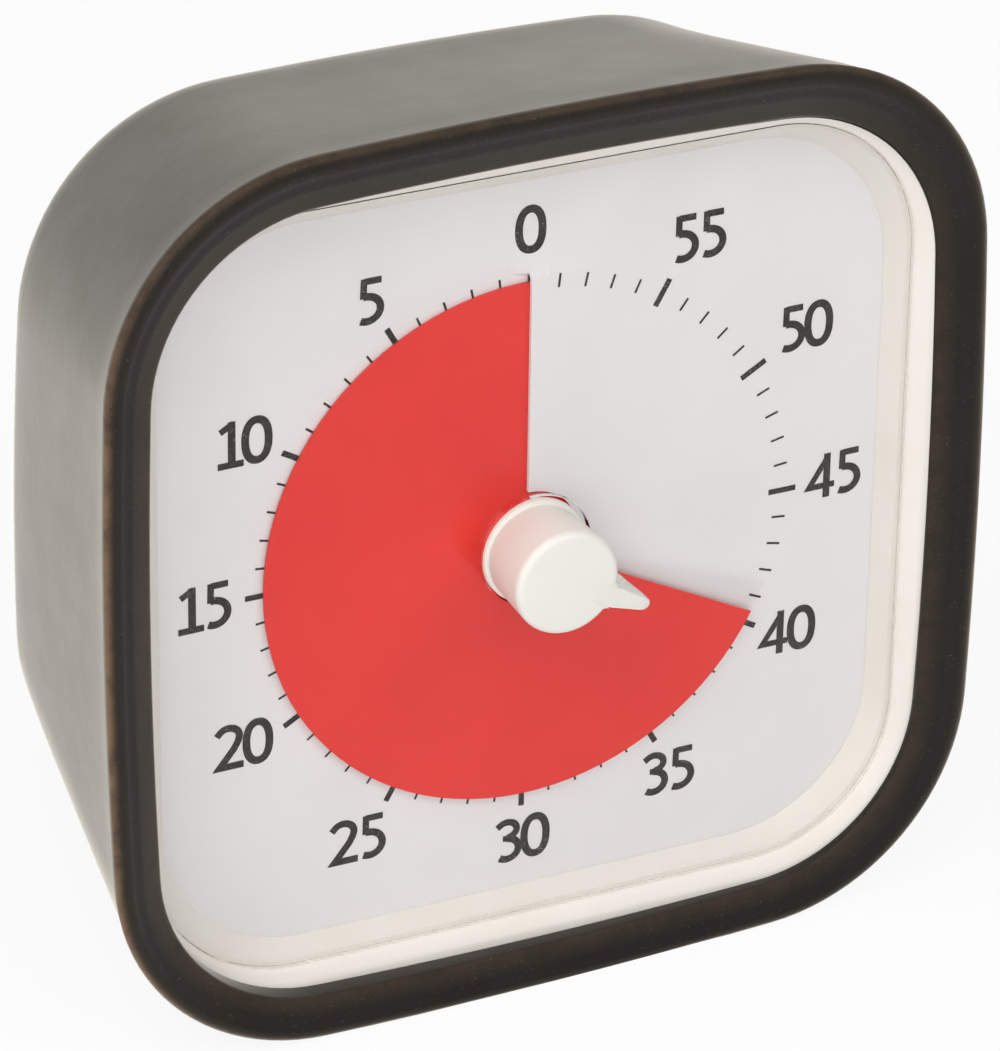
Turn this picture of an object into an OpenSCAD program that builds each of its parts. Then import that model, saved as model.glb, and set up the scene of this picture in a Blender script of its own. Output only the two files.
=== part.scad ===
// Visual countdown timer: a red disc winds out through a slit in the dial and shows the minutes left.
// Every piece is drawn about the knob's axis: x to the right, y up the dial, z out towards the user,
// with z = 0 in the middle of the dial card. standing() then leans the whole timer back onto its underside.

/* [Body] */
// Width and height of the sleeve's front edge
face_w = 90; // [86:0.5:100]
// Corner radius of the sleeve's front edge
face_corner_r = 21.6; // [20:0.2:24]
// Radius of the slight outward bulge of each side
side_bulge_r = 600; // [400:10:900]
// How far the sleeve's front edge stands in front of the dial
face_rise = 6.2; // [6:0.1:7]
// Distance from the dial to the back of the sleeve
body_back = 33; // [33:0.5:38]
// Inward draft of the two sides in degrees
side_draft = 8; // [7:0.5:9]
// Inward draft of the top in degrees
top_draft = 9.2; // [8:0.2:10]
// Draft of the underside in degrees, which is also how far the timer leans back
sole_draft = 17; // [15:0.5:18]
// How much further each side stands out at the bottom of the back than halfway up it
splay = 1; // [0:0.1:1.2]
// Rounding of the back edges
back_round_r = 9; // [8:0.5:10]
// Depth of the flat rubbed into the bulged underside
sole_flat = 0.4; // [0.2:0.1:0.6]

/* [Sleeve] */
// Thickness of the silicone
sleeve_wall = 2; // [1.6:0.1:2.2]
// Width of the sleeve's front lip
lip_w = 4.35; // [4.2:0.05:5.4]
// How far the lip slopes back from its outer edge to its inner edge
lip_slope = 0.9; // [0.4:0.1:1.2]
// Clear width of the opening in the back
back_open_w = 57; // [56:0.2:58]
// Clear height of the opening in the back
back_open_h = 55; // [50:0.5:56]
// Corner radius of the opening in the back
back_open_r = 5; // [3:0.2:6]

/* [Case] */
// Thickness of the case walls
case_wall = 1.8; // [1.5:0.1:2]
// Width of the case rim that shows around the lens
rim_w = 1.8; // [1.6:0.1:2.4]
// Corner radius of the visible dial
dial_corner_r = 14.5; // [13.5:0.1:14.9]
// Corner radius of the seat for the lens
lens_seat_r = 15; // [13:0.2:16]
// Front of the lens in front of the dial
lens_front = 2.85; // [2.7:0.05:3.1]
// Thickness of the lens
lens_t = 1; // [0.8:0.1:1]
// Width of the bevel between the lens and the dial
bevel_w = 1.95; // [1.6:0.05:2.2]
// Depth of the joint between the two case halves behind the dial
case_joint = 4; // [3.8:0.1:4.6]
// Distance of the case screws from the middle, each way
screw_spacing = 25; // [24.6:0.1:25.4]
// Radius of the case screws
screw_r = 1; // [0.8:0.05:1.1]

/* [Dial and disc] */
// How far the dial card reaches in under the bevel
card_margin = 1.3; // [1:0.1:1.5]
// Thickness of the dial card
card_t = 0.4; // [0.3:0.05:0.4]
// Radius of the red disc
disc_r = 26.6; // [25:0.1:26.8]
// Thickness of the red disc
disc_t = 0.3; // [0.2:0.05:0.3]
// Rise of the disc's winding surface in one turn
disc_pitch = 1.3; // [1.2:0.05:1.35]
// Minutes shown
minutes = 40.5; // [5:0.5:59]
// Outer end of the slit at zero
slit_end_r = 27.6; // [27.4:0.1:28.4]
// Radius of the hole in the middle of the dial card
card_hole_r = 5.4; // [5.1:0.1:6]
// Depth of the carrier's floor behind the dial
carrier_floor = 2.2; // [2.1:0.05:2.4]
// Thickness of the carrier's floor
carrier_t = 1.4; // [1.2:0.1:1.6]

/* [Knob] */
// Radius of the knob
knob_r = 5.2; // [4.8:0.1:5.6]
// Front of the knob in front of the dial
knob_front = 9.9; // [8.5:0.1:12]
// Rounding of the knob's front edge
knob_edge_r = 0.7; // [0.3:0.1:1]
// Reach of the pointer's tip from the axis
pointer_reach = 9.3; // [8.5:0.1:11]
// Width of the pointer where it leaves the knob
pointer_w = 3.8; // [3:0.1:4.6]
// Radius of the pointer's tip
pointer_tip_r = 0.75; // [0.5:0.05:1]
// Thickness of the pointer
pointer_t = 2; // [1:0.1:3]
// Radius of the shaft
shaft_r = 1.6; // [1.4:0.05:1.7]
// Radius of the hub that carries the disc
hub_r = 4.4; // [4:0.1:4.6]

/* [Movement] */
// Outer width of the movement housing
movement_w = 40; // [39:0.5:42]
// Distance from the movement's middle up to the middle of its housing
movement_rise = 3; // [2:0.5:4]
// Wall thickness of the movement housing
movement_wall = 1.2; // [1:0.1:1.3]
// Outer depth of the movement housing
movement_depth = 8.6; // [8.6:0.1:8.8]
// Tooth module of the centre wheel
centre_module = 0.3; // [0.29:0.005:0.31]
// Tooth module of the middle wheels
train_module = 0.25; // [0.24:0.005:0.26]
// Tooth module of the step wheel
step_module = 0.2; // [0.19:0.005:0.21]

/* [Battery] */
// Diameter of the AA cell
cell_d = 14.5; // [13.5:0.1:14.5]
// Overall length of the AA cell
cell_l = 50.5; // [49.5:0.1:50.5]
// Distance of the cell's axis below the knob's axis
cell_drop = 12; // [11.6:0.1:12.2]

/* [Switch] */
// Travel of the sound switch
switch_travel = 3; // [2:0.1:3.4]
// Distance of the switch to the right of the knob's axis
switch_x = 15; // [13:0.5:16]
// Height of the switch above the knob's axis
switch_y = 15; // [13:0.5:17]

/* [Hidden] */
$fn = 48;

// Clearances
slip = 0.1;           // between shells that slide together
run = 0.05;           // around a turning shaft
grip = 0.02;          // around a pressed or screwed shank
skin = 0.01;          // thickness of a section inside a hull
past = 1;             // how far a cut runs past a face
card_gap = 0.05;      // above and below the edge of the card
disc_gap = 0.12;      // between the disc and the card

// Body: sections of the drafted, rounded shape that the sleeve and the case share
lean = sole_draft;
face_half = face_w / 2;
round_centre = -(body_back - back_round_r);
round_start = round_centre - back_round_r * sin(side_draft);
case_inset = sleeve_wall + slip;
lip_open_half = face_half - lip_w;
lens_seat_half = lip_open_half - rim_w;
dial_half = lens_seat_half - bevel_w;
case_front = face_rise - lip_slope - sleeve_wall + 0.4;
rim_flare = 1.6;
lens_ledge = 0.5;
case_back = round_centre - back_round_r + case_inset;
back_wall_in = case_back + case_wall;

// Where the leaned body touches down and how far it reaches, for the middle of its footprint
sole_level = -face_half * cos(lean) + face_rise * sin(lean) + sole_flat;
sole_front = -face_half * sin(lean) - face_rise * cos(lean);
back_middle = top_at(round_start) - back_round_r * cos(side_draft);
back_reach = back_middle * sin(lean) - round_centre * cos(lean) + back_round_r;
stand_y = -(sole_front + back_reach) / 2;
stand_z = -sole_level;

// Dial, disc and carrier
rest_turn = minutes * 6;
card_lift = card_t / 2 + disc_t / 2 + disc_gap;
card_half = dial_half + card_margin;
card_corner_r = dial_corner_r + card_margin / 3;
well_margin = 2.4;
well_half = card_half - well_margin;
well_corner_r = card_corner_r - well_margin;
carrier_back = -carrier_floor - carrier_t;
card_stations = 96;
disc_stations = 96;
fade_steps = [0, 0.12, 0.3, 0.55, 0.8, 1];
hub_over = 0.3;
hub_top = disc_pitch * rest_turn / 360 + hub_over;
hub_bottom = hub_top - disc_pitch - 2 * hub_over;
knob_back = disc_pitch + hub_over + 0.4;
lens_hole_r = knob_r + 0.4;
shaft_flat = 0.75 * shaft_r;
shaft_end = knob_front - 1;

// Screw posts
boss_r = screw_r + 2.2;
carrier_boss_back = carrier_back - 4.4;
screw_head_r = 2 * screw_r;
screw_head_h = 1.6 * screw_r;
counterbore = 2.5;
screw_head_z = case_back + counterbore;

// Movement: levels from the carrier backwards, and the arbors of its wheels
movement_top = carrier_back;
movement_in = movement_top - 1.4;
movement_bottom = movement_top - movement_depth;
movement_floor = movement_bottom + 1;
movement_split = movement_top - 4.8;
wheel_gap = 0.3;
centre_z = movement_in - 0.35 - 0.7;
second_z = centre_z - wheel_gap - 0.6;
third_z = second_z - wheel_gap - 0.6;
step_z = third_z - wheel_gap - 0.6;
centre_t = 0.7;
wheel_t = 0.6;
centre_teeth = 64;
second_teeth = 60;
third_teeth = 48;
step_teeth = 50;
leaf_teeth = 8;
rotor_teeth = 10;
second_angle = 207;
third_angle = 100;
step_angle = 60;
rotor_angle = 15;
second_at = along([0, 0], (centre_teeth + leaf_teeth) / 2 * centre_module, second_angle);
third_at = along(second_at, (second_teeth + leaf_teeth) / 2 * train_module, third_angle);
step_at = along(third_at, (third_teeth + leaf_teeth) / 2 * train_module, step_angle);
rotor_at = along(step_at, (step_teeth + rotor_teeth) / 2 * step_module, rotor_angle);
pivot_r = 0.4;
arbor_r = 0.6;
pivot_deep = 0.7;
magnet_r = 1.3;
stator_z = movement_in - 2.7;
stator_t = 0.8;
stator_low = rotor_at[1] - 5.2;
stator_high = rotor_at[1] + 5.2;
stator_arm = 2.4;
coil_r = 2.1;
core_r = 0.9;
board_z = movement_floor + 0.4;
board_t = 0.8;
board_left = 1.5;
board_right = movement_w / 2 - movement_wall - 0.5;
board_low = movement_rise - movement_w / 2 + movement_wall + 0.5;
board_high = movement_rise + movement_w / 2 - movement_wall - 0.5;
stator_end = board_right - 1.3;
coil_x = board_right - 4.3;
post_left = 2;
post_right = board_right - 2.3;
post_inset = 1.2;
switch_feed_x = board_right - 5.3;
switch_feed_y = 4;
feed_pitch = 2;
sounder_feed_x = 8;
sounder_feed_y = 11;
battery_feed_x = 7.5;
battery_feed_r = 1.5;
wire_r = 0.4;
feed_r = wire_r + 0.3;
ear_x = movement_w / 2 + 3;
ear_r = 2.4;
ear_screw_r = 0.8;
flange_r = 3;
collar_r = 2.6;
cam_r = 4.2;

// Battery bay
cell_r = cell_d / 2;
bay_room = 0.55;
bay_half_y = cell_r + bay_room;
bay_half_x = cell_l / 2 + 3.65;
bay_wall = 1.2;
door_t = 1.55;
door_seat = case_back + door_t + 0.05;
ledge_t = 1;
cell_z = door_seat + 0.25 + cell_r;
bay_floor = cell_z + cell_r + 0.35;
door_half_x = bay_half_x - 1.4;
door_half_y = bay_half_y + 1.4;
contact_t = 0.4;
contact_x = bay_half_x - contact_t - slip;
cell_left = -cell_l / 2 + 0.65;
cell_right = cell_l / 2 + 0.65;
nub_l = 1;
nub_r = 2.75;

wire_z = (movement_bottom + bay_floor + ledge_t) / 2;
tab_half = 1.2;

// Sounder and switch
sounder_x = -11;
sounder_y = 14;
sounder_r = 10.4;
sounder_h = 3.4;
sounder_wall = 0.8;
switch_w = 13;
switch_d = 7;
switch_h = 4;
stem_w = 4;
stem_d = 3.4;

// ---------------------------------------------------------------- functions

// Point at a distance and an angle from another
function along(from, distance, angle) = from + distance * [cos(angle), sin(angle)];

// Square with bulged sides and round corners: half width, corner radius, radius of the sides
function corner_place(half, corner, bulge) =
    let (a = half - bulge, b = bulge - corner)
    (2 * a + sqrt(4 * a * a - 8 * (a * a - b * b))) / 4;

function outline_points(half, corner, bulge) =
    let (c = corner_place(half, corner, bulge),
         a = half - bulge,
         meet = atan2(c, c - a))
    [for (quarter = [0:3], step = [0:12])
        let (turn = quarter * 90,
             point = step < 3
                 ? along([a, 0], bulge, -meet + 2 * meet * step / 3)
                 : along([c, c], corner, meet + (90 - 2 * meet) * (step - 3) / 9))
        [point[0] * cos(turn) - point[1] * sin(turn), point[0] * sin(turn) + point[1] * cos(turn)]];

// Outline with its top drawn down and its bottom drawn up. c is how far its corners' centres lie out
function drawn_ends(points, c, down, up) =
    [for (p = points)
        let (share = (min(max(p[1], -c), c) + c) / (2 * c))
        [p[0], p[1] - down * share + up * (1 - share)]];

// How far out the sides, the top and the underside of the body lie at a depth
function half_at(z) = face_half - (face_rise - z) * tan(side_draft);
function top_at(z) = face_half - (face_rise - z) * tan(top_draft);
function sole_at(z) = face_half - (face_rise - z) * tan(sole_draft);

// Section of the body at a depth, drawn in by the rounding of the back and by an inset
function body_points(z, drawn_in, inset) =
    let (level = max(z, round_start),
         half = half_at(level) - drawn_in - inset,
         bulge = side_bulge_r - inset,
         corner = face_corner_r - drawn_in - inset,
         spread = splay * (face_rise - level) / (face_rise - round_start),
         square = outline_points(half, corner, bulge),
         splayed = [for (p = square) [p[0] * (1 - spread * p[1] / (half * half)), p[1]]])
    drawn_ends(splayed, corner_place(half, corner, bulge),
               half_at(level) - top_at(level), half_at(level) - sole_at(level));

// Distance from the middle to the edge of a straight-sided square with round corners
function square_reach(angle, half, corner) =
    let (c = half - corner,
         u = abs(cos(angle)),
         v = abs(sin(angle)),
         long = max(u, v),
         short = min(u, v),
         side = half / long,
         dot = c * (u + v))
    side * short <= c ? side : dot + sqrt(dot * dot - 2 * c * c + corner * corner);

// Height of the dial card: a ramp up to the slit's end, then fading out to a level edge
function card_height(radius, turn, fade) =
    let (ratio = min(1, slit_end_r / radius),
         swing = turn <= 0 ? (ratio < 1 ? 0 : 90)
               : turn >= 360 ? (ratio < 1 ? 0 : -90)
               : atan2(ratio * sin(turn), 1 - ratio * cos(turn)))
    -card_lift * swing / 90 * fade;

// Points of the card, ring by ring from its hole to its edge. The slit is open inside the third ring
card_open_rings = 2;
card_rings = card_open_rings + len(fade_steps) + 1;

function card_radius(ring, turn) =
    let (well = square_reach(turn + 90, well_half, well_corner_r))
    ring == 0 ? card_hole_r
    : ring < card_open_rings ? (disc_r + slit_end_r) / 2
    : ring < card_rings - 1 ? slit_end_r + fade_steps[ring - card_open_rings] * (well - slit_end_r)
    : square_reach(turn + 90, card_half, card_corner_r);

function card_fade(ring) =
    ring < card_open_rings ? 1
    : 1 - fade_steps[min(ring - card_open_rings, len(fade_steps) - 1)];

function card_point(ring, s, side) =
    let (turn = 360 * s / card_stations,
         closed = ring >= card_open_rings && s % card_stations == 0,
         radius = card_radius(ring, turn),
         lift = closed ? 0 : card_height(radius, turn, card_fade(ring)))
    [-radius * sin(turn), radius * cos(turn), lift + (side - 0.5) * card_t];

function card_place(ring, s, side) =
    2 * (ring * (card_stations + 1) + (ring >= card_open_rings && s == card_stations ? 0 : s)) + side;

// The winding disc's four section corners at a turn
function disc_section(turn) =
    let (out = [-sin(turn), cos(turn), 0],
         lift = [0, 0, disc_pitch * turn / 360],
         half_t = [0, 0, disc_t / 2],
         inner_r = hub_r + grip)
    [inner_r * out + lift + half_t, disc_r * out + lift + half_t,
     disc_r * out + lift - half_t, inner_r * out + lift - half_t];

function split_quad(q) = [[q[0], q[1], q[2]], [q[0], q[2], q[3]]];

// Half section of the knob with its rounded front edge
function knob_profile() = concat(
    [[0, knob_back], [knob_r, knob_back]],
    [for (angle = [0:15:90])
        along([knob_r - knob_edge_r, knob_front - knob_edge_r], knob_edge_r, angle)],
    [[0, knob_front]]);

// Tube swept along a route, with rings square to the way it runs
function unit(v) = v / norm(v);
function heading(route, i) =
    let (last = len(route) - 1)
    unit(route[min(i + 1, last)] - route[max(i - 1, 0)]);
function tube_ring(at, way, radius, sides) =
    let (guide = abs(way[2]) < 0.9 ? [0, 0, 1] : [0, 1, 0],
         across = unit(cross(way, guide)),
         up = cross(across, way))
    [for (k = [0:sides - 1]) at + radius * (cos(360 * k / sides) * across + sin(360 * k / sides) * up)];

// Smooth route through chosen points
function smooth_route(points, steps) =
    let (last = len(points) - 1)
    [for (i = [0:last - 1], s = [0:steps - 1])
        let (t = s / steps,
             a = points[max(i - 1, 0)],
             b = points[i],
             c = points[i + 1],
             d = points[min(i + 2, last)])
        (2 * b + (c - a) * t + (2 * a - 5 * b + 4 * c - d) * t * t + (3 * b - 3 * c + d - a) * t * t * t) / 2,
     points[last]];

// ---------------------------------------------------------------- shared shapes

module standing() translate([0, stand_y, stand_z]) rotate([90 - lean, 0, 0]) children();

module rounded_square(half, corner, bulge) polygon(outline_points(half, corner, bulge));

module straight_square(half, corner) rounded_square(half, corner, 20 * side_bulge_r);

// Thin section of the body at a depth
module body_section(z, drawn_in, inset)
    translate([0, 0, z - skin / 2])
        linear_extrude(skin)
            polygon(body_points(z, drawn_in, inset));

// The body from a depth to its rounded back, drawn in by an inset
module body_shape(front, inset) {
    rounding = back_round_r - inset;
    hull() {
        body_section(front, 0, inset);
        for (angle = [side_draft, 22, 37, 52, 68, 90 - side_draft, 90])
            body_section(round_centre - rounding * sin(angle),
                         rounding * (cos(side_draft) - cos(angle)), inset);
    }
}

module box(low, high) translate(low) cube(high - low);

module rod(r, low, high) translate([0, 0, low]) cylinder(r = r, h = high - low);

module at_corners(spacing)
    for (sx = [-1, 1], sy = [-1, 1])
        translate([sx * spacing, sy * spacing, 0]) children();

// Shaft section with a flat that carries the knob and lets the hub slide
module shaft_section(clear)
    intersection() {
        circle(r = shaft_r + clear);
        translate([-shaft_r - past, -shaft_r - past])
            square([2 * (shaft_r + past), shaft_r + past + shaft_flat + clear]);
    }

module tube(route, radius, sides) {
    rings = len(route);
    points = [for (i = [0:rings - 1]) each tube_ring(route[i], heading(route, i), radius, sides)];
    walls = [for (i = [0:rings - 2], k = [0:sides - 1])
        let (a = i * sides + k, b = i * sides + (k + 1) % sides)
        each [[a, b, b + sides], [a, b + sides, a + sides]]];
    ends = [[for (k = [0:sides - 1]) sides - 1 - k], [for (k = [0:sides - 1]) (rings - 1) * sides + k]];
    polyhedron(points, concat(walls, ends), convexity = 6);
}

// Wheel or pinion with teeth, one tooth pointing along the angle
module toothed(teeth, tooth_module, angle, thick) {
    pitch_r = teeth * tooth_module / 2;
    tip_r = pitch_r + 0.75 * tooth_module;
    root_r = pitch_r - 1.1 * tooth_module;
    pitch_angle = 360 / teeth;
    linear_extrude(thick)
        polygon([for (i = [0:teeth - 1])
            let (mid = angle + i * pitch_angle)
            each [along([0, 0], root_r, mid - 0.27 * pitch_angle),
                  along([0, 0], tip_r, mid - 0.1 * pitch_angle),
                  along([0, 0], tip_r, mid + 0.1 * pitch_angle),
                  along([0, 0], root_r, mid + 0.27 * pitch_angle)]]);
}

// Arbor with a pivot at each end of the movement, a wheel and a pinion
module train_wheel(at, teeth, tooth_module, wheel_z, to_angle,
                   leaves, leaf_module, leaf_z, leaf_t, from_angle)
    translate([at[0], at[1], 0]) {
        rod(arbor_r, movement_floor + run, movement_in - run);
        rod(pivot_r, movement_floor - pivot_deep + run, movement_in + pivot_deep - run);
        translate([0, 0, wheel_z])
            difference() {
                toothed(teeth, tooth_module, to_angle, wheel_t);
                for (spoke = [0:3])
                    rotate(spoke * 90 + 45)
                        translate([teeth * tooth_module * 0.28, 0, -past])
                            cylinder(r = teeth * tooth_module * 0.13, h = wheel_t + 2 * past);
            }
        translate([0, 0, leaf_z])
            toothed(leaves, leaf_module, from_angle + 180 / leaves, leaf_t);
    }

// ---------------------------------------------------------------- shells

module sleeve() color([0.22, 0.21, 0.2]) standing()
    difference() {
        body_shape(face_rise, 0);
        body_shape(case_front + slip, sleeve_wall);
        hull() {
            translate([0, 0, face_rise - lip_slope])
                linear_extrude(skin) lip_opening();
            translate([0, 0, face_rise])
                linear_extrude(past) rounded_square(face_half - 0.3, face_corner_r - 0.3, side_bulge_r);
        }
        translate([0, 0, case_front - past])
            linear_extrude(face_rise) lip_opening();
        translate([0, 0, -body_back - past])
            linear_extrude(sleeve_wall + 2 * past) back_opening();
        rotate([lean - 90, 0, 0])
            box([-face_w, -2 * body_back, sole_level - face_w], [face_w, 2 * body_back, sole_level]);
    }

module lip_opening() rounded_square(lip_open_half, face_corner_r - lip_w, side_bulge_r);

// Opening in the middle of the sleeve's flat back, for the door, the sounder and the switch
module back_opening() {
    half = back_open_w / 2;
    middle = (top_at(round_start) - sole_at(round_start)) / 2;
    polygon(drawn_ends(outline_points(half, back_open_r, side_bulge_r),
                       corner_place(half, back_open_r, side_bulge_r),
                       half - back_open_h / 2 - middle, half - back_open_h / 2 + middle));
}

module front_case() color([0.95, 0.95, 0.94]) standing() {
    bevel_top = lens_front - lens_t;
    difference() {
        hull() {
            body_section(case_front, 0, case_inset);
            body_section(-case_joint, 0, case_inset);
        }
        hull() {
            translate([0, 0, lens_front])
                linear_extrude(skin) straight_square(lens_seat_half, lens_seat_r);
            translate([0, 0, case_front])
                linear_extrude(past)
                    straight_square(lens_seat_half + rim_flare, lens_seat_r + rim_flare);
        }
        translate([0, 0, bevel_top])
            linear_extrude(lens_t + past) straight_square(lens_seat_half, lens_seat_r);
        hull() {
            translate([0, 0, -skin])
                linear_extrude(skin) straight_square(dial_half, dial_corner_r);
            translate([0, 0, bevel_top])
                linear_extrude(skin) straight_square(lens_seat_half - lens_ledge, lens_seat_r - lens_ledge);
        }
        translate([0, 0, -case_joint - past])
            linear_extrude(case_joint + past + card_t / 2 + card_gap)
                straight_square(card_half + slip, card_corner_r + slip);
    }
    for (quarter = [0:3])
        rotate(quarter * 90)
            box([card_half - 0.6, -5, carrier_back - 1.1], [card_half + 0.7, 5, carrier_back - run]);
}

module rear_case() color([0.93, 0.93, 0.92]) standing() {
    difference() {
        union() {
            difference() {
                body_shape(-case_joint - skin / 2, case_inset);
                body_shape(-case_joint + past, case_inset + case_wall);
            }
            intersection() {
                body_shape(-case_joint, case_inset);
                at_corners(screw_spacing)
                    rod(boss_r, case_back + case_wall / 2, carrier_boss_back);
            }
            bay_block();
            sounder_ring();
            switch_ribs();
        }
        at_corners(screw_spacing) {
            rod(screw_r + 0.15, case_back - past, carrier_boss_back + past);
            rod(screw_head_r + 0.2, case_back - past, screw_head_z);
        }
        bay_hollow();
        for (quarter = [0:3])
            rotate(quarter * 90)
                box([card_half - 2, -5 - slip, carrier_back - 1.1 - slip],
                    [card_half + 0.7 + slip, 5 + slip, past]);
        for (ring = [0:6])
            translate([sounder_x, sounder_y, 0])
                rotate(ring * 60)
                    translate([ring == 6 ? 0 : 4.5, 0, 0])
                        rod(0.8, case_back - past, back_wall_in + past);
        box([switch_x - (switch_travel + stem_w) / 2 - 0.2, switch_y - stem_d / 2 - 0.2, case_back - past],
            [switch_x + (switch_travel + stem_w) / 2 + 0.2, switch_y + stem_d / 2 + 0.2,
             back_wall_in + past]);
    }
}

module bay_block()
    box([-bay_half_x - bay_wall, -cell_drop - door_half_y - 0.7, door_seat - 0.1],
        [bay_half_x + bay_wall, -cell_drop + door_half_y + 0.7, bay_floor + ledge_t]);

module bay_hollow() {
    box([-bay_half_x, -cell_drop - bay_half_y, door_seat + ledge_t],
        [bay_half_x, -cell_drop + bay_half_y, bay_floor]);
    box([-bay_half_x + 2.7, -cell_drop - bay_half_y, door_seat - past],
        [bay_half_x - 2.7, -cell_drop + bay_half_y, door_seat + 2 * ledge_t]);
    box([-door_half_x, -cell_drop - door_half_y, case_back - past],
        [door_half_x, -cell_drop + door_half_y, door_seat]);
    for (side = [-1, 1])
        translate([side * (contact_x + contact_t / 2), -cell_drop, 0])
            box([-contact_t / 2 - slip, -tab_half - slip, bay_floor - past],
                [contact_t / 2 + slip, tab_half + slip, bay_floor + ledge_t + past]);
}

module sounder_ring()
    translate([sounder_x, sounder_y, 0])
        difference() {
            rod(sounder_r + slip + 1, back_wall_in - 0.1, back_wall_in + 1.6);
            rod(sounder_r + slip, back_wall_in - past, back_wall_in + 1.7);
        }

module switch_ribs()
    for (side = [-1, 1])
        translate([switch_x, switch_y, 0])
            box([-switch_w / 2 - slip - 1, side * (switch_d / 2 + 0.6) - 0.5, back_wall_in - 0.1],
                [switch_w / 2 + slip + 1, side * (switch_d / 2 + 0.6) + 0.5, back_wall_in + 2.4]);

module lens() color([0.85, 0.9, 0.92, 0.35]) standing()
    translate([0, 0, lens_front - lens_t])
        linear_extrude(lens_t)
            difference() {
                straight_square(lens_seat_half - slip, lens_seat_r - slip);
                circle(r = lens_hole_r);
            }

module case_screws() color([0.6, 0.6, 0.62]) standing()
    at_corners(screw_spacing)
        difference() {
            union() {
                rod(screw_r, screw_head_z - skin, carrier_back - 0.9);
                rod(screw_head_r, screw_head_z - screw_head_h, screw_head_z);
            }
            for (turn = [0, 90])
                translate([0, 0, screw_head_z - screw_head_h])
                    rotate(turn)
                        box([-screw_head_r * 0.6, -0.2, -past], [screw_head_r * 0.6, 0.2, 0.6]);
        }

// ---------------------------------------------------------------- dial

module dial_carrier() color([0.9, 0.9, 0.9]) standing()
    difference() {
        union() {
            translate([0, 0, carrier_back])
                linear_extrude(-carrier_back - card_t / 2 - card_gap)
                    straight_square(card_half, card_corner_r);
            at_corners(screw_spacing)
                rod(boss_r, carrier_boss_back, carrier_back + carrier_t / 2);
            for (side = [-1, 1])
                translate([side * ear_x, movement_rise, 0])
                    rod(ear_r, movement_in, carrier_back + carrier_t / 2);
        }
        translate([0, 0, -carrier_floor])
            linear_extrude(carrier_floor + past) straight_square(well_half, well_corner_r);
        rod(shaft_r + run, carrier_back - past, past);
        at_corners(screw_spacing)
            rod(screw_r + grip, carrier_boss_back - past, carrier_back - 0.6);
        for (side = [-1, 1])
            translate([side * ear_x, movement_rise, 0])
                rod(ear_screw_r + grip, movement_in - past, carrier_back + 0.5);
    }

module dial_card() color([0.86, 0.86, 0.87]) standing() {
    last = card_stations;
    points = [for (ring = [0:card_rings - 1], s = [0:last], side = [0, 1]) card_point(ring, s, side)];
    flats = [for (ring = [0:card_rings - 2], s = [0:last - 1])
        each concat(split_quad([card_place(ring, s, 1), card_place(ring, s + 1, 1),
                                card_place(ring + 1, s + 1, 1), card_place(ring + 1, s, 1)]),
                    split_quad([card_place(ring, s, 0), card_place(ring + 1, s, 0),
                                card_place(ring + 1, s + 1, 0), card_place(ring, s + 1, 0)]))];
    rims = [for (s = [0:last - 1])
        each concat(split_quad([card_place(0, s, 0), card_place(0, s + 1, 0),
                                card_place(0, s + 1, 1), card_place(0, s, 1)]),
                    split_quad([card_place(card_rings - 1, s, 1), card_place(card_rings - 1, s + 1, 1),
                                card_place(card_rings - 1, s + 1, 0), card_place(card_rings - 1, s, 0)]))];
    slit = [for (ring = [0:card_open_rings - 1])
        each concat(split_quad([card_place(ring, 0, 0), card_place(ring, 0, 1),
                                card_place(ring + 1, 0, 1), card_place(ring + 1, 0, 0)]),
                    split_quad([card_place(ring, last, 1), card_place(ring, last, 0),
                                card_place(ring + 1, last, 0), card_place(ring + 1, last, 1)]))];
    polyhedron(points, concat(flats, rims, slit), convexity = 4);
}

// Winding disc: one full turn of a thin helical ramp that ends at the minutes shown
module timer_disc() color([0.85, 0.16, 0.13]) standing() {
    points = [for (s = [0:disc_stations]) each disc_section(rest_turn - 360 + 360 * s / disc_stations)];
    last = 4 * disc_stations;
    walls = [for (s = [0:disc_stations - 1], k = [0:3])
        let (a = 4 * s + k, b = 4 * s + (k + 1) % 4)
        each split_quad([a, b, b + 4, a + 4])];
    ends = concat(split_quad([0, 3, 2, 1]), split_quad([last, last + 1, last + 2, last + 3]));
    polyhedron(points, concat(walls, ends), convexity = 4);
}

module disc_hub() color([0.9, 0.9, 0.9]) standing()
    translate([0, 0, hub_bottom])
        linear_extrude(hub_top - hub_bottom)
            difference() {
                circle(r = hub_r);
                shaft_section(run);
            }

module knob() color([0.97, 0.97, 0.95]) standing()
    rotate(rest_turn + 90)
        difference() {
            union() {
                rotate_extrude() polygon(knob_profile());
                translate([0, 0, knob_front - knob_edge_r - pointer_t])
                    linear_extrude(pointer_t) pointer_outline();
            }
            rotate(-rest_turn - 90)
                translate([0, 0, knob_back - past])
                    linear_extrude(shaft_end - knob_back + past + run) shaft_section(grip);
        }

// Pointer that runs out from inside the knob along x to a round tip
module pointer_outline() {
    root_x = knob_r - 1;
    tip_x = pointer_reach - pointer_tip_r;
    slant = atan2(pointer_w / 2, tip_x - root_x);
    reach = norm([tip_x - root_x, pointer_w / 2]);
    swing = 90 - slant + asin(pointer_tip_r / reach);
    polygon(concat([[root_x, pointer_w / 2], [root_x, -pointer_w / 2]],
                   [for (step = [-6:6]) along([tip_x, 0], pointer_tip_r, swing * step / 6)]));
}

module knob_shaft() color([0.75, 0.76, 0.78]) standing() {
    rod(shaft_r, movement_floor + 2.6, -carrier_floor + run);
    translate([0, 0, -carrier_floor])
        linear_extrude(shaft_end + carrier_floor) shaft_section(0);
    rod(flange_r, movement_in - 0.3, movement_in - run);
    rod(pivot_r * 2, movement_floor - pivot_deep, movement_floor + 2.6 + skin);
}

// ---------------------------------------------------------------- movement

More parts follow.
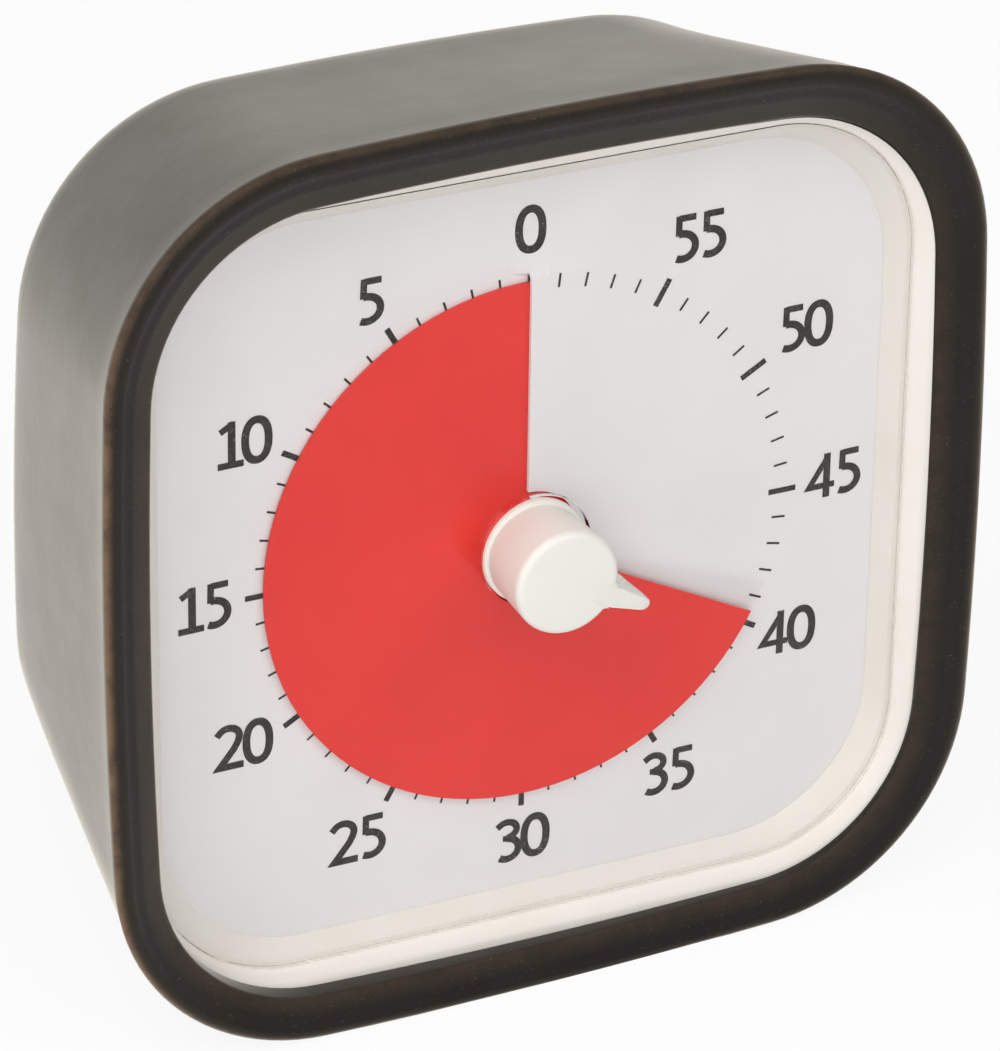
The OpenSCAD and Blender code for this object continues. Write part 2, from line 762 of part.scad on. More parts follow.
module movement_outline(inset)
    translate([0, movement_rise])
        difference() {
            square(movement_w - 2 * inset, center = true);
            for (turn = [0:3])
                rotate(turn * 90 + 45)
                    translate([(movement_w / 2 - inset) * sqrt(2) - 2, -movement_w / 2])
                        square(movement_w);
        }

module each_arbor()
    for (at = [second_at, third_at, step_at, rotor_at])
        translate([at[0], at[1], 0]) children();

module movement_front() color([0.2, 0.2, 0.22]) standing()
    difference() {
        union() {
            translate([0, 0, movement_split])
                linear_extrude(movement_top - movement_split) movement_outline(0);
            for (side = [-1, 1])
                translate([side * ear_x, movement_rise, movement_in - 1.4]) {
                    cylinder(r = ear_r, h = 1.4 - slip);
                    translate([-side * 3, 0, 0.65]) cube([6, 2 * ear_r, 1.3], center = true);
                }
        }
        translate([0, 0, movement_split - past])
            linear_extrude(movement_in - movement_split + past) movement_outline(movement_wall);
        rod(shaft_r + run, movement_in - past, movement_top + past);
        each_arbor() rod(pivot_r + run, movement_in - past, movement_in + pivot_deep);
        for (side = [-1, 1])
            translate([side * ear_x, movement_rise, 0])
                rod(ear_screw_r + slip, movement_in - 2, movement_in + past);
    }

module movement_back() color([0.24, 0.24, 0.26]) standing()
    difference() {
        union() {
            difference() {
                translate([0, 0, movement_bottom])
                    linear_extrude(movement_split - movement_bottom) movement_outline(0);
                translate([0, 0, movement_floor])
                    linear_extrude(movement_depth) movement_outline(movement_wall);
            }
            for (x = [board_left + 2, board_right - 2], y = [board_low + 2, board_high - 2])
                translate([x, y, 0]) rod(1.2, movement_floor - skin, board_z);
            at_posts() rod(0.7, movement_floor - skin, stator_z);
        }
        rod(2 * pivot_r + run, movement_floor - pivot_deep - run, movement_floor + past);
        each_arbor() rod(pivot_r + run, movement_floor - pivot_deep, movement_floor + past);
        for (line = [0, 1], feed = [[battery_feed_x + 5 * line, -cell_drop, battery_feed_r],
                                    [sounder_feed_x, sounder_feed_y + feed_pitch * line, feed_r],
                                    [switch_feed_x + 1.5 * feed_pitch * line, switch_feed_y, feed_r]])
            translate([feed[0], feed[1], 0])
                rod(feed[2], movement_bottom - past, movement_floor + past);
    }

// Places of the posts that carry the stator through the circuit board
module at_posts()
    for (x = [post_left, post_right], y = [stator_low + post_inset, stator_high - post_inset])
        translate([x, y, 0]) children();

module circuit_board() color([0.1, 0.4, 0.2]) standing()
    difference() {
        translate([0, 0, board_z])
            linear_extrude(board_t)
                intersection() {
                    movement_outline(movement_wall + 0.5);
                    translate([board_left, board_low]) square(movement_w);
                }
        at_posts() rod(0.9, board_z - past, board_z + board_t + past);
    }

module quartz_crystal() color([0.8, 0.8, 0.82]) standing()
    translate([board_right - 3, board_low + 6.5, board_z + board_t + 1])
        rotate([90, 0, 0])
            cylinder(r = 1, h = 6, center = true);

module control_chip() color([0.08, 0.08, 0.09]) standing() {
    chip_x = board_right - 8.3;
    chip_y = board_low + 3.8;
    translate([chip_x, chip_y, 0]) {
        box([-2.6, -2.6, board_z + board_t + 0.15], [2.6, 2.6, board_z + board_t + 1.4]);
        for (side = [-1, 1], leg = [-1.5:1:1.5])
            box([side > 0 ? 2.5 : -3.6, leg - 0.2, board_z + board_t],
                [side > 0 ? 3.6 : -2.5, leg + 0.2, board_z + board_t + 0.5]);
    }
}

module alarm_contact() color([0.85, 0.7, 0.35]) standing() {
    box([cam_r + 0.3, -6.8, board_z + board_t], [cam_r + 1.5, -5.5, third_z]);
    box([cam_r + 0.3, -5.6, step_z], [cam_r + 0.5, 0.5, third_z]);
}

module stator() color([0.55, 0.56, 0.58]) standing()
    translate([0, 0, stator_z])
        linear_extrude(stator_t)
            difference() {
                union() {
                    translate([rotor_at[0] - 2.7, stator_low])
                        square([5.4, stator_high - stator_low]);
                    for (y = [stator_low, stator_high - stator_arm])
                        translate([rotor_at[0], y]) square([stator_end - rotor_at[0], stator_arm]);
                }
                translate(rotor_at) circle(r = magnet_r + 0.5);
                for (side = [-1, 1])
                    translate([rotor_at[0] - 0.25, rotor_at[1] + side * 1.75])
                        square([0.5, 1.2], center = true);
            }

module coil_bobbin() color([0.85, 0.83, 0.78]) standing()
    translate([coil_x, (stator_low + stator_high) / 2, stator_z + stator_t / 2])
        rotate([90, 0, 0]) {
            core_half = (stator_high - stator_low) / 2 - stator_arm - slip;
            translate([0, 0, -core_half]) cylinder(r = core_r, h = 2 * core_half);
            for (side = [-1, 1])
                translate([0, 0, side * (core_half - 0.25)])
                    cylinder(r = coil_r, h = 0.5, center = true);
        }

module coil_winding() color([0.72, 0.38, 0.18]) standing()
    translate([coil_x, (stator_low + stator_high) / 2, stator_z + stator_t / 2])
        rotate([90, 0, 0])
            difference() {
                wound = stator_high - stator_low - 2 * stator_arm - 2 * slip - 1 - 2 * grip;
                cylinder(r = coil_r - 0.2, h = wound, center = true);
                cylinder(r = core_r + grip, h = wound + past, center = true);
            }

module rotor() color([0.35, 0.35, 0.38]) standing()
    translate([rotor_at[0], rotor_at[1], 0]) {
        rod(arbor_r, movement_floor + run, movement_in - run);
        rod(pivot_r, movement_floor - pivot_deep + run, movement_in + pivot_deep - run);
        rod(magnet_r, stator_z - 0.1, stator_z + stator_t + 0.1);
        translate([0, 0, step_z])
            toothed(rotor_teeth, step_module, rotor_angle + 180 + 180 / rotor_teeth, wheel_t);
    }

module step_wheel() color([0.95, 0.94, 0.9]) standing()
    train_wheel(step_at, step_teeth, step_module, step_z, rotor_angle,
                leaf_teeth, train_module, third_z, wheel_t, step_angle + 180);

module third_wheel() color([0.95, 0.94, 0.9]) standing()
    train_wheel(third_at, third_teeth, train_module, third_z, step_angle,
                leaf_teeth, train_module, second_z, wheel_t, third_angle + 180);

module second_wheel() color([0.95, 0.94, 0.9]) standing()
    train_wheel(second_at, second_teeth, train_module, second_z, third_angle,
                leaf_teeth, centre_module, centre_z, centre_t, second_angle + 180);

module centre_wheel() color([0.85, 0.7, 0.4]) standing()
    translate([0, 0, centre_z])
        difference() {
            toothed(centre_teeth, centre_module, second_angle, centre_t);
            translate([0, 0, -past]) cylinder(r = shaft_r + run, h = centre_t + 2 * past);
            for (spoke = [0:4])
                rotate(spoke * 72)
                    translate([6, 0, -past]) cylinder(r = 2, h = centre_t + 2 * past);
        }

// Spring washer that presses the centre wheel to the shaft's flange, so that the knob can slip
module clutch_spring() color([0.8, 0.8, 0.82]) standing()
    rotate_extrude()
        polygon([[shaft_r + run, centre_z - 0.3], [2.9, centre_z - 0.2], [2.9, centre_z - 0.05],
                 [shaft_r + run, centre_z - 0.15]]);

module clutch_collar() color([0.75, 0.6, 0.3]) standing()
    difference() {
        rod(collar_r, second_z - 0.1, centre_z - 0.35);
        rod(shaft_r + grip, second_z - past, centre_z);
    }

module alarm_cam() color([0.9, 0.9, 0.88]) standing()
    difference() {
        rod(cam_r, step_z + 0.2, third_z + 0.3);
        rod(shaft_r + grip, step_z - past, third_z + past);
        rotate(rest_turn)
            translate([cam_r, 0, step_z - past]) cylinder(r = 1, h = 3 * past);
    }

module movement_screws() color([0.6, 0.6, 0.62]) standing()
    for (side = [-1, 1])
        translate([side * ear_x, movement_rise, 0]) {
            rod(ear_screw_r, movement_in - 1.4 - skin, carrier_back + 0.4);
            difference() {
                rod(2 * ear_screw_r, movement_in - 2.4, movement_in - 1.4);
                box([-ear_screw_r, -0.15, movement_in - 3], [ear_screw_r, 0.15, movement_in - 2]);
            }
        }

// ---------------------------------------------------------------- battery

module battery() color([0.75, 0.55, 0.25]) standing()
    translate([0, -cell_drop, cell_z])
        rotate([0, 90, 0]) {
            rod(cell_r, cell_left, cell_right - nub_l);
            rod(nub_r, cell_right - nub_l - skin, cell_right);
        }

module contact_plate() {
    box([0, -cell_drop - 5, cell_z - cell_r + 1], [contact_t, -cell_drop + 5, bay_floor - slip]);
    box([0, -cell_drop - tab_half, bay_floor - slip - skin],
        [contact_t, -cell_drop + tab_half, wire_z + wire_r + slip]);
}

module battery_plate() color([0.8, 0.8, 0.82]) standing()
    translate([contact_x, 0, 0]) {
        contact_plate();
        translate([0, -cell_drop, cell_z])
            rotate([0, -90, 0])
                cylinder(r1 = 4, r2 = 2, h = contact_x - cell_right - 0.05);
    }

module battery_spring() color([0.8, 0.8, 0.82]) standing() {
    turns = 3;
    steps = 14;
    wire = 0.35;
    first = -contact_x + wire + 0.05;
    last = cell_left - wire - 0.05;
    translate([-contact_x - contact_t, 0, 0]) contact_plate();
    tube([for (i = [0:turns * steps])
            let (part = i / (turns * steps), turn = 360 * i / steps, r = 4.6 - 2 * part)
            [first + (last - first) * part, -cell_drop + r * cos(turn), cell_z + r * sin(turn)]],
         wire, 8);
    box([-contact_x - skin, -cell_drop + 4.2, cell_z - 0.4], [first, -cell_drop + 5, cell_z + 0.4]);
}

module battery_door() color([0.93, 0.93, 0.92]) standing()
    difference() {
        union() {
            box([-door_half_x + slip, -cell_drop - door_half_y + slip, case_back],
                [door_half_x - slip, -cell_drop + door_half_y - slip, door_seat - 0.05]);
            for (x = [-18, 18])
                box([x - 3, -cell_drop - bay_half_y + 0.2, door_seat - 0.1],
                    [x + 3, -cell_drop - bay_half_y + 1, door_seat + ledge_t]);
            box([-5, -cell_drop + bay_half_y - 1, door_seat - 0.1],
                [5, -cell_drop + bay_half_y - 0.2, door_seat + ledge_t]);
        }
        for (x = [-6:2:6])
            box([x - 0.4, -cell_drop + door_half_y - 5, case_back - past],
                [x + 0.4, -cell_drop + door_half_y - 2, case_back + 0.4]);
    }

// ---------------------------------------------------------------- sounder and switch

module sounder_housing() color([0.1, 0.1, 0.11]) standing()
    translate([sounder_x, sounder_y, 0])
        difference() {
            rod(sounder_r, back_wall_in + run, back_wall_in + sounder_h);
            rod(sounder_r - sounder_wall, back_wall_in - past, back_wall_in + 0.8);
            rod(sounder_r - 2 * sounder_wall, back_wall_in, back_wall_in + sounder_h - sounder_wall);
        }

module sounder_disc() color([0.85, 0.68, 0.3]) standing()
    translate([sounder_x, sounder_y, 0])
        rod(sounder_r - sounder_wall - grip, back_wall_in + 0.5, back_wall_in + 0.75);

module switch_body() color([0.15, 0.15, 0.16]) standing()
    translate([switch_x, switch_y, 0])
        difference() {
            box([-switch_w / 2, -switch_d / 2, back_wall_in + run],
                [switch_w / 2, switch_d / 2, back_wall_in + switch_h]);
            box([-switch_w / 2 + 1, -switch_d / 2 + 1, back_wall_in - past],
                [switch_w / 2 - 1, switch_d / 2 - 1, back_wall_in + 2.6]);
        }

module switch_slider() color([0.12, 0.12, 0.12]) standing()
    translate([switch_x - switch_travel / 2, switch_y, 0]) {
        box([-stem_w / 2, -stem_d / 2, case_back - 0.9], [stem_w / 2, stem_d / 2, back_wall_in + 0.8]);
        box([-stem_w / 2 - 1, -switch_d / 2 + 1.1, back_wall_in + 0.7],
            [stem_w / 2 + 1, switch_d / 2 - 1.1, back_wall_in + 2.5]);
    }

// ---------------------------------------------------------------- wires

wire_top = board_z - slip;

module battery_wires() color([0.75, 0.1, 0.1]) standing()
    for (side = [-1, 1]) {
        from_x = side * (contact_x - 0.15);
        to_x = battery_feed_x + (side < 0 ? 0 : 5);
        way = side < 0 ? 1 : -1;
        tube(smooth_route([[from_x, -cell_drop, wire_z], [(from_x + to_x) / 2, -cell_drop, wire_z],
                           [to_x - way * 2.4, -cell_drop, wire_z], [to_x, -cell_drop, wire_z + 1.1],
                           [to_x, -cell_drop, wire_top]], 4), wire_r, 8);
    }

module sounder_wires() color([0.1, 0.1, 0.1]) standing()
    for (line = [0, 1])
        tube(smooth_route([[sounder_x + 2, sounder_y - 1 + 2 * line, back_wall_in + sounder_h + slip],
                           [sounder_x + 3, sounder_y - 1 + 2 * line, back_wall_in + 7],
                           [0, sounder_feed_y + 0.5 + feed_pitch * line, back_wall_in + 11],
                           [sounder_feed_x - 0.5, sounder_feed_y + feed_pitch * line, movement_bottom - 2],
                           [sounder_feed_x, sounder_feed_y + feed_pitch * line, movement_floor],
                           [sounder_feed_x, sounder_feed_y + feed_pitch * line, wire_top]], 4),
             wire_r, 8);

module switch_wires() color([0.85, 0.8, 0.2]) standing()
    for (line = [0, 1])
        tube(smooth_route([[switch_x - 1.5 + 3 * line, switch_y, back_wall_in + switch_h + slip],
                           [switch_x - 1.5 + 3 * line, switch_y - 1, back_wall_in + 8],
                           [switch_feed_x + 3 * line, switch_feed_y + 3, movement_bottom - 4],
                           [switch_feed_x + 3 * line, switch_feed_y + 0.2, movement_bottom - 1],
                           [switch_feed_x + 3 * line, switch_feed_y, movement_floor],
                           [switch_feed_x + 3 * line, switch_feed_y, wire_top]], 4),
             wire_r, 8);

sleeve();
front_case();
rear_case();
lens();
dial_card();
dial_carrier();
timer_disc();
disc_hub();
knob();
knob_shaft();
clutch_spring();
clutch_collar();
alarm_cam();
centre_wheel();
second_wheel();
third_wheel();
step_wheel();
rotor();
stator();
coil_bobbin();
coil_winding();
movement_front();
movement_back();
circuit_board();
quartz_crystal();
control_chip();
alarm_contact();
sounder_housing();
sounder_disc();
battery();
battery_spring();
battery_plate();
battery_door();
switch_body();
switch_slider();
case_screws();
movement_screws();
battery_wires();
sounder_wires();
switch_wires();
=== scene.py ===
"""Dress the countdown timer: model its moulded pieces, print its dial, and light it."""

import logging
import math
from dataclasses import dataclass, field
from enum import Enum
from functools import partial
from typing import Callable, Sequence

import bmesh
import bpy
from mathutils import Matrix, Vector


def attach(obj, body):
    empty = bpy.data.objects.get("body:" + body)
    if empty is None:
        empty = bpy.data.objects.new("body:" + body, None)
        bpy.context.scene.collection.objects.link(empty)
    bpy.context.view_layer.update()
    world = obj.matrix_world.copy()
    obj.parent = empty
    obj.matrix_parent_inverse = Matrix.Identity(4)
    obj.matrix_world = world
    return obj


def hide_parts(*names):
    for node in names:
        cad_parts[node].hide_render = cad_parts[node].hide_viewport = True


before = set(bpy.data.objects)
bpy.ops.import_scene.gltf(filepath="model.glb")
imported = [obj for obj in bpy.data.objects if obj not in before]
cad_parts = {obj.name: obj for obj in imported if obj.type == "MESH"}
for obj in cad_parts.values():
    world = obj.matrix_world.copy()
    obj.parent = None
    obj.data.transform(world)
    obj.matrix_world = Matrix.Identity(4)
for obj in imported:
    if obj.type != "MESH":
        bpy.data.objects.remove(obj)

LOG = logging.getLogger("timer")
MM = 0.001
SIDE_STEPS = 10
CORNER_STEPS = 22
WELD_MM = 0.0004
SOLID_WELD_M = 2e-6
FLAT_DEGREES = 1.0
SHARP_DEGREES = 40.0

Point = tuple[float, float, float]
Colour = tuple[float, float, float]
Ring = list[Point]


# ---------------------------------------------------------------- the clock's own frame


@dataclass(frozen=True)
class Clock:
    """Sizes shared by the pieces, in millimetres, seen from the middle of the dial."""

    face_w: float = 90.0
    face_corner_r: float = 21.6
    side_bulge_r: float = 600.0
    straight_side_r: float = 12000.0
    face_rise: float = 6.2
    body_back: float = 33.0
    side_draft: float = 8.0
    top_draft: float = 9.2
    sole_draft: float = 17.0
    splay: float = 1.0
    back_round_r: float = 9.0
    sole_flat: float = 0.4
    lip_w: float = 4.35
    rim_w: float = 1.8
    bevel_w: float = 1.95
    dial_corner_r: float = 14.5
    lens_seat_r: float = 15.0
    lens_front: float = 2.85
    lens_t: float = 1.0
    case_front: float = 3.7
    case_joint: float = 4.0
    case_inset: float = 2.1
    card_t: float = 0.4
    card_lift: float = 0.47
    slit_end_r: float = 27.6
    well_half: float = 35.8
    well_corner_r: float = 12.533
    card_half: float = 38.2
    card_corner_r: float = 14.933
    disc_r: float = 26.6
    disc_pitch: float = 1.3
    rest_turn: float = 243.0

    @property
    def face_half(self) -> float:
        """Half the width of the front."""
        return self.face_w / 2

    @property
    def round_centre(self) -> float:
        """Depth of the centre of the rounding at the back."""
        return -(self.body_back - self.back_round_r)

    @property
    def round_start(self) -> float:
        """Depth where the rounding at the back begins."""
        return self.round_centre - self.back_round_r * math.sin(math.radians(self.side_draft))

    @property
    def stand(self) -> tuple[float, float]:
        """Where the middle of the dial stands, with the clock's depth centred on the origin.

        Returns:
            Its distance along y and its height.
        """
        lean = math.radians(self.sole_draft)
        sole_level = (-self.face_half * math.cos(lean) + self.face_rise * math.sin(lean)
                      + self.sole_flat)
        sole_front = -self.face_half * math.sin(lean) - self.face_rise * math.cos(lean)
        back_middle = (self.drafted(self.round_start, self.top_draft)
                       - self.back_round_r * math.cos(math.radians(self.side_draft)))
        back_reach = (back_middle * math.sin(lean) - self.round_centre * math.cos(lean)
                      + self.back_round_r)
        return -(sole_front + back_reach) / 2, -sole_level

    def drafted(self, depth: float, draft: float) -> float:
        """How far out a drafted wall lies at a depth.

        Args:
            depth: Place along the dial's axis.
            draft: Draft in degrees.

        Returns:
            Its distance from the middle.
        """
        return self.face_half - (self.face_rise - depth) * math.tan(math.radians(draft))

    def body(self, depth: float, drawn_in: float = 0.0, inset: float = 0.0) -> Ring:
        """Section of the drafted body at a depth.

        Args:
            depth: Place along the dial's axis.
            drawn_in: How far the rounding at the back draws it in.
            inset: How much further in than the outer wall it lies.

        Returns:
            The points of the section.
        """
        level = max(depth, self.round_start)
        side = self.drafted(level, self.side_draft)
        half = side - drawn_in - inset
        corner = self.face_corner_r - drawn_in - inset
        bulge = self.side_bulge_r - inset
        spread = self.splay * (self.face_rise - level) / (self.face_rise - self.round_start)
        square = [(x * (1 - spread * y / half ** 2), y)
                  for x, y in rounded_square(half, corner, bulge)]
        return drawn_ends(square, corner_place(half, corner, bulge),
                          side - self.drafted(level, self.top_draft),
                          side - self.drafted(level, self.sole_draft), depth)

    def standing(self) -> Matrix:
        """The way from the dial's millimetres (x right, y up, z out) to the frame's metres.

        Returns:
            The matrix.
        """
        along, height = self.stand
        lean = math.radians(self.sole_draft)
        turn = Matrix(((1, 0, 0, 0),
                       (0, math.sin(lean), -math.cos(lean), 0),
                       (0, math.cos(lean), math.sin(lean), 0),
                       (0, 0, 0, 1)))
        return (Matrix.Scale(MM, 4) @ Matrix.Translation((0, along, height))) @ turn

    def card_height(self, x: float, y: float) -> float:
        """Height of the front of the dial card at a place on it.

        Args:
            x: Place to the right of the middle.
            y: Place above the middle.

        Returns:
            Millimetres in front of the middle of a level card.
        """
        radius = max(math.hypot(x, y), 1e-6)
        turn = math.degrees(math.atan2(-x, y)) % 360
        ratio = min(1.0, self.slit_end_r / radius)
        swing = math.degrees(math.atan2(ratio * math.sin(math.radians(turn)),
                                        1 - ratio * math.cos(math.radians(turn))))
        if turn == 0:
            swing = 0.0 if ratio < 1 else 90.0
        well = square_reach(math.radians(turn + 90), self.well_half, self.well_corner_r)
        fade = 1.0 - min(1.0, max(0.0, (radius - self.slit_end_r) / (well - self.slit_end_r)))
        return self.card_t / 2 - self.card_lift * swing / 90 * fade


def square_reach(angle: float, half: float, corner: float) -> float:
    """Distance from the middle to the edge of a straight-sided square with round corners.

    Args:
        angle: Direction in radians.
        half: Half the width of the square.
        corner: Radius of its corners.

    Returns:
        The distance, in the units of the half width.
    """
    centre = half - corner
    u, v = abs(math.cos(angle)), abs(math.sin(angle))
    side = half / max(u, v)
    if side * min(u, v) <= centre:
        return side
    dot = centre * (u + v)
    return dot + math.sqrt(max(0.0, dot * dot - 2 * centre * centre + corner * corner))


def corner_place(half: float, corner: float, bulge: float) -> float:
    """How far out, both ways, the centres of the corners of a bulged square lie.

    Args:
        half: Half the width of the square.
        corner: Radius of its corners.
        bulge: Radius of its sides.

    Returns:
        The distance.
    """
    a, b = half - bulge, bulge - corner
    return (2 * a + math.sqrt(4 * a * a - 8 * (a * a - b * b))) / 4


def rounded_square(half: float, corner: float, bulge: float) -> list[tuple[float, float]]:
    """Outline of a square with bulged sides and round corners.

    Args:
        half: Half the width.
        corner: Radius of the corners.
        bulge: Radius of the sides.

    Returns:
        Points counterclockwise from the lower end of the right side.
    """
    centre = corner_place(half, corner, bulge)
    middle = half - bulge
    meet = math.atan2(centre, centre - middle)
    quarter: list[tuple[float, float]] = []
    for step in range(SIDE_STEPS):
        angle = -meet + 2 * meet * step / SIDE_STEPS
        quarter.append((middle + bulge * math.cos(angle), bulge * math.sin(angle)))
    for step in range(CORNER_STEPS):
        angle = meet + (math.pi / 2 - 2 * meet) * step / CORNER_STEPS
        quarter.append((centre + corner * math.cos(angle), centre + corner * math.sin(angle)))
    points = list(quarter)
    for _ in range(3):
        quarter = [(-y, x) for x, y in quarter]
        points.extend(quarter)
    return points


def drawn_ends(outline: Sequence[tuple[float, float]], centre: float, down: float, up: float,
               depth: float) -> Ring:
    """Draw the top of an outline down and its bottom up.

    Args:
        outline: The outline.
        centre: How far out the centres of its corners lie.
        down: How far the top comes down.
        up: How far the bottom comes up.
        depth: Place of the section along the dial's axis.

    Returns:
        The section.
    """
    ring: Ring = []
    for x, y in outline:
        share = (min(max(y, -centre), centre) + centre) / (2 * centre)
        ring.append((x, y - down * share + up * (1 - share), depth))
    return ring


def between(first: Ring, second: Ring, share: float) -> Ring:
    """Section part of the way from one section to another.

    Args:
        first: One section.
        second: The other, with as many points.
        share: 0 for the first, 1 for the second.

    Returns:
        The section between them.
    """
    return [tuple(a + (b - a) * share for a, b in zip(one, other))
            for one, other in zip(first, second)]


# ---------------------------------------------------------------- the modelling bench


class Bench:
    """Blender's modelling operators, as the pieces use them."""

    @staticmethod
    def clear() -> None:
        """Leave nothing selected."""
        if bpy.context.object and bpy.context.object.mode != "OBJECT":
            bpy.ops.object.mode_set(mode="OBJECT")
        bpy.ops.object.select_all(action="DESELECT")

    @staticmethod
    def only(piece: bpy.types.Object) -> None:
        """Select one piece alone.

        Args:
            piece: The piece.
        """
        Bench.clear()
        piece.select_set(True)
        bpy.context.view_layer.objects.active = piece

    @staticmethod
    def start(name: str) -> bpy.types.Object:
        """Name the primitive that was just added.

        Args:
            name: Name of the piece it is to become.

        Returns:
            The new object.
        """
        piece = bpy.context.active_object
        piece.name = name
        piece.data.name = name
        return piece

    @staticmethod
    def skin(name: str, rings: Sequence[Ring], closed: bool = False,
             rim_lit: Sequence[float] = ()) -> bpy.types.Object:
        """Extrude a circle from section to section.

        Args:
            name: Name of the piece.
            rings: Sections with the same number of points, in order.
            closed: Whether the last section joins the first, as round a frame.
            rim_lit: How strongly each section takes the painted rim light, for finishes that show
                it.

        Returns:
            The finished skin, in millimetres, with its ends filled unless it is closed.
        """
        Bench.clear()
        bpy.ops.mesh.primitive_circle_add(vertices=len(rings[0]), radius=1.0)
        piece = Bench.start(name)
        bpy.ops.object.mode_set(mode="EDIT")
        mesh = bmesh.from_edit_mesh(piece.data)
        mesh.verts.layers.int.new("station")
        # A float attribute carries each section's share of painted rim light to the finish.
        if rim_lit:
            mesh.verts.layers.float.new("rim")
        mesh.verts.ensure_lookup_table()
        station = mesh.verts.layers.int["station"]
        for index, vertex in enumerate(mesh.verts):
            vertex[station] = index
        sections = list(rings) + ([rings[0]] if closed else [])
        for row, ring in enumerate(sections):
            if row:
                bpy.ops.mesh.extrude_region_move()
                mesh = bmesh.from_edit_mesh(piece.data)
                station = mesh.verts.layers.int["station"]
            rim = mesh.verts.layers.float.get("rim")
            for vertex in mesh.verts:
                if vertex.select:
                    vertex.co = ring[vertex[station]]
                    if rim is not None:
                        vertex[rim] = rim_lit[row % len(rings)]
            bmesh.update_edit_mesh(piece.data)
        bpy.ops.mesh.select_all(action="SELECT")
        bpy.ops.mesh.remove_doubles(threshold=WELD_MM)
        if not closed:
            bpy.ops.mesh.fill_holes(sides=0)
        bpy.ops.mesh.dissolve_degenerate(threshold=WELD_MM)
        bpy.ops.mesh.select_all(action="SELECT")
        bpy.ops.mesh.normals_make_consistent(inside=False)
        bpy.ops.object.mode_set(mode="OBJECT")
        piece.data.attributes.remove(piece.data.attributes["station"])
        return piece

    @staticmethod
    def ribbon(name: str, pairs: Sequence[tuple[Point, Point]]) -> bpy.types.Object:
        """Extrude an edge from pair to pair of points into a flat ribbon.

        Args:
            name: Name of the piece.
            pairs: Left and right points along the ribbon.

        Returns:
            The ribbon, in millimetres, facing the front.
        """
        Bench.clear()
        bpy.ops.mesh.primitive_plane_add(size=1.0)
        piece = Bench.start(name)
        bpy.ops.object.mode_set(mode="EDIT")
        mesh = bmesh.from_edit_mesh(piece.data)
        side = mesh.verts.layers.int.new("side")
        mesh.verts.ensure_lookup_table()
        for index, vertex in enumerate(mesh.verts):
            vertex[side] = index % 2
            vertex.co = pairs[index // 2][index % 2]
            vertex.select = index > 1
        mesh.select_mode = {"VERT"}
        mesh.select_flush_mode()
        bmesh.update_edit_mesh(piece.data)
        for pair in pairs[2:]:
            bpy.ops.mesh.extrude_region_move()
            mesh = bmesh.from_edit_mesh(piece.data)
            side = mesh.verts.layers.int["side"]
            for vertex in mesh.verts:
                if vertex.select:
                    vertex.co = pair[vertex[side]]
            bmesh.update_edit_mesh(piece.data)
        bpy.ops.mesh.select_all(action="SELECT")
        bpy.ops.mesh.remove_doubles(threshold=WELD_MM)
        bpy.ops.mesh.normals_make_consistent(inside=False)
        bpy.ops.object.mode_set(mode="OBJECT")
        piece.data.attributes.remove(piece.data.attributes["side"])
        if sum(face.normal.z * face.area for face in piece.data.polygons) < 0:
            Bench.only(piece)
            bpy.ops.object.mode_set(mode="EDIT")
            bpy.ops.mesh.select_all(action="SELECT")
            bpy.ops.mesh.flip_normals()
            bpy.ops.object.mode_set(mode="OBJECT")
        return piece

    @staticmethod
    def copy(piece: bpy.types.Object, name: str) -> bpy.types.Object:
        """Duplicate a piece together with its mesh.

        Args:
            piece: The piece to copy.
            name: Name of the copy.

        Returns:
            The copy.
        """
        Bench.only(piece)
        bpy.ops.object.duplicate(linked=False)
        return Bench.start(name)

    @staticmethod
    def join(name: str, pieces: Sequence[bpy.types.Object]) -> bpy.types.Object:
        """Join pieces into one object.

        Args:
            name: Name of the whole.
            pieces: The pieces, of which the first takes in the rest.

        Returns:
            The joined object.
        """
        Bench.only(pieces[0])
        for piece in pieces:
            piece.select_set(True)
        bpy.ops.object.join()
        return Bench.start(name)

    @staticmethod
    def shape(piece: bpy.types.Object, move: Callable[[Vector], Point]) -> None:
        """Move every point of a piece.

        Args:
            piece: The piece to shape.
            move: Gives the new place of a point.
        """
        for vertex in piece.data.vertices:
            vertex.co = move(vertex.co)
        piece.data.update()

    @staticmethod
    def modify(piece: bpy.types.Object, kind: str, **settings: object) -> None:
        """Add a modifier and apply it.

        Args:
            piece: The piece to finish.
            kind: Blender's name of the modifier.
            **settings: The modifier's own settings.
        """
        Bench.only(piece)
        modifier = piece.modifiers.new(kind.title(), kind)
        for key, value in settings.items():
            setattr(modifier, key, value)
        bpy.ops.object.modifier_apply(modifier=modifier.name)

    @staticmethod
    def smooth(piece: bpy.types.Object, angle: float = 35.0) -> None:
        """Shade a piece smooth, with edges sharper than an angle in degrees left crisp."""
        Bench.only(piece)
        bpy.ops.object.shade_smooth_by_angle(angle=math.radians(angle))

    @staticmethod
    def softened(node: str, width: float, name: str) -> bpy.types.Object:
        """Copy a solid of the frame and round its edges as a mould does.

        Args:
            node: Name of the solid.
            width: Width of the rounding in metres.
            name: Name of the new piece.

        Returns:
            The rounded copy.
        """
        piece = Bench.copy(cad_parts[node], name)
        bpy.ops.object.mode_set(mode="EDIT")
        bpy.ops.mesh.select_all(action="SELECT")
        bpy.ops.mesh.remove_doubles(threshold=SOLID_WELD_M)
        bpy.ops.mesh.dissolve_limited(angle_limit=math.radians(FLAT_DEGREES))
        bpy.ops.object.mode_set(mode="OBJECT")
        Bench.modify(piece, "BEVEL", width=width, segments=2, limit_method="ANGLE",
                     angle_limit=math.radians(SHARP_DEGREES), use_clamp_overlap=True)
        Bench.smooth(piece)
        return piece


# ---------------------------------------------------------------- finishes


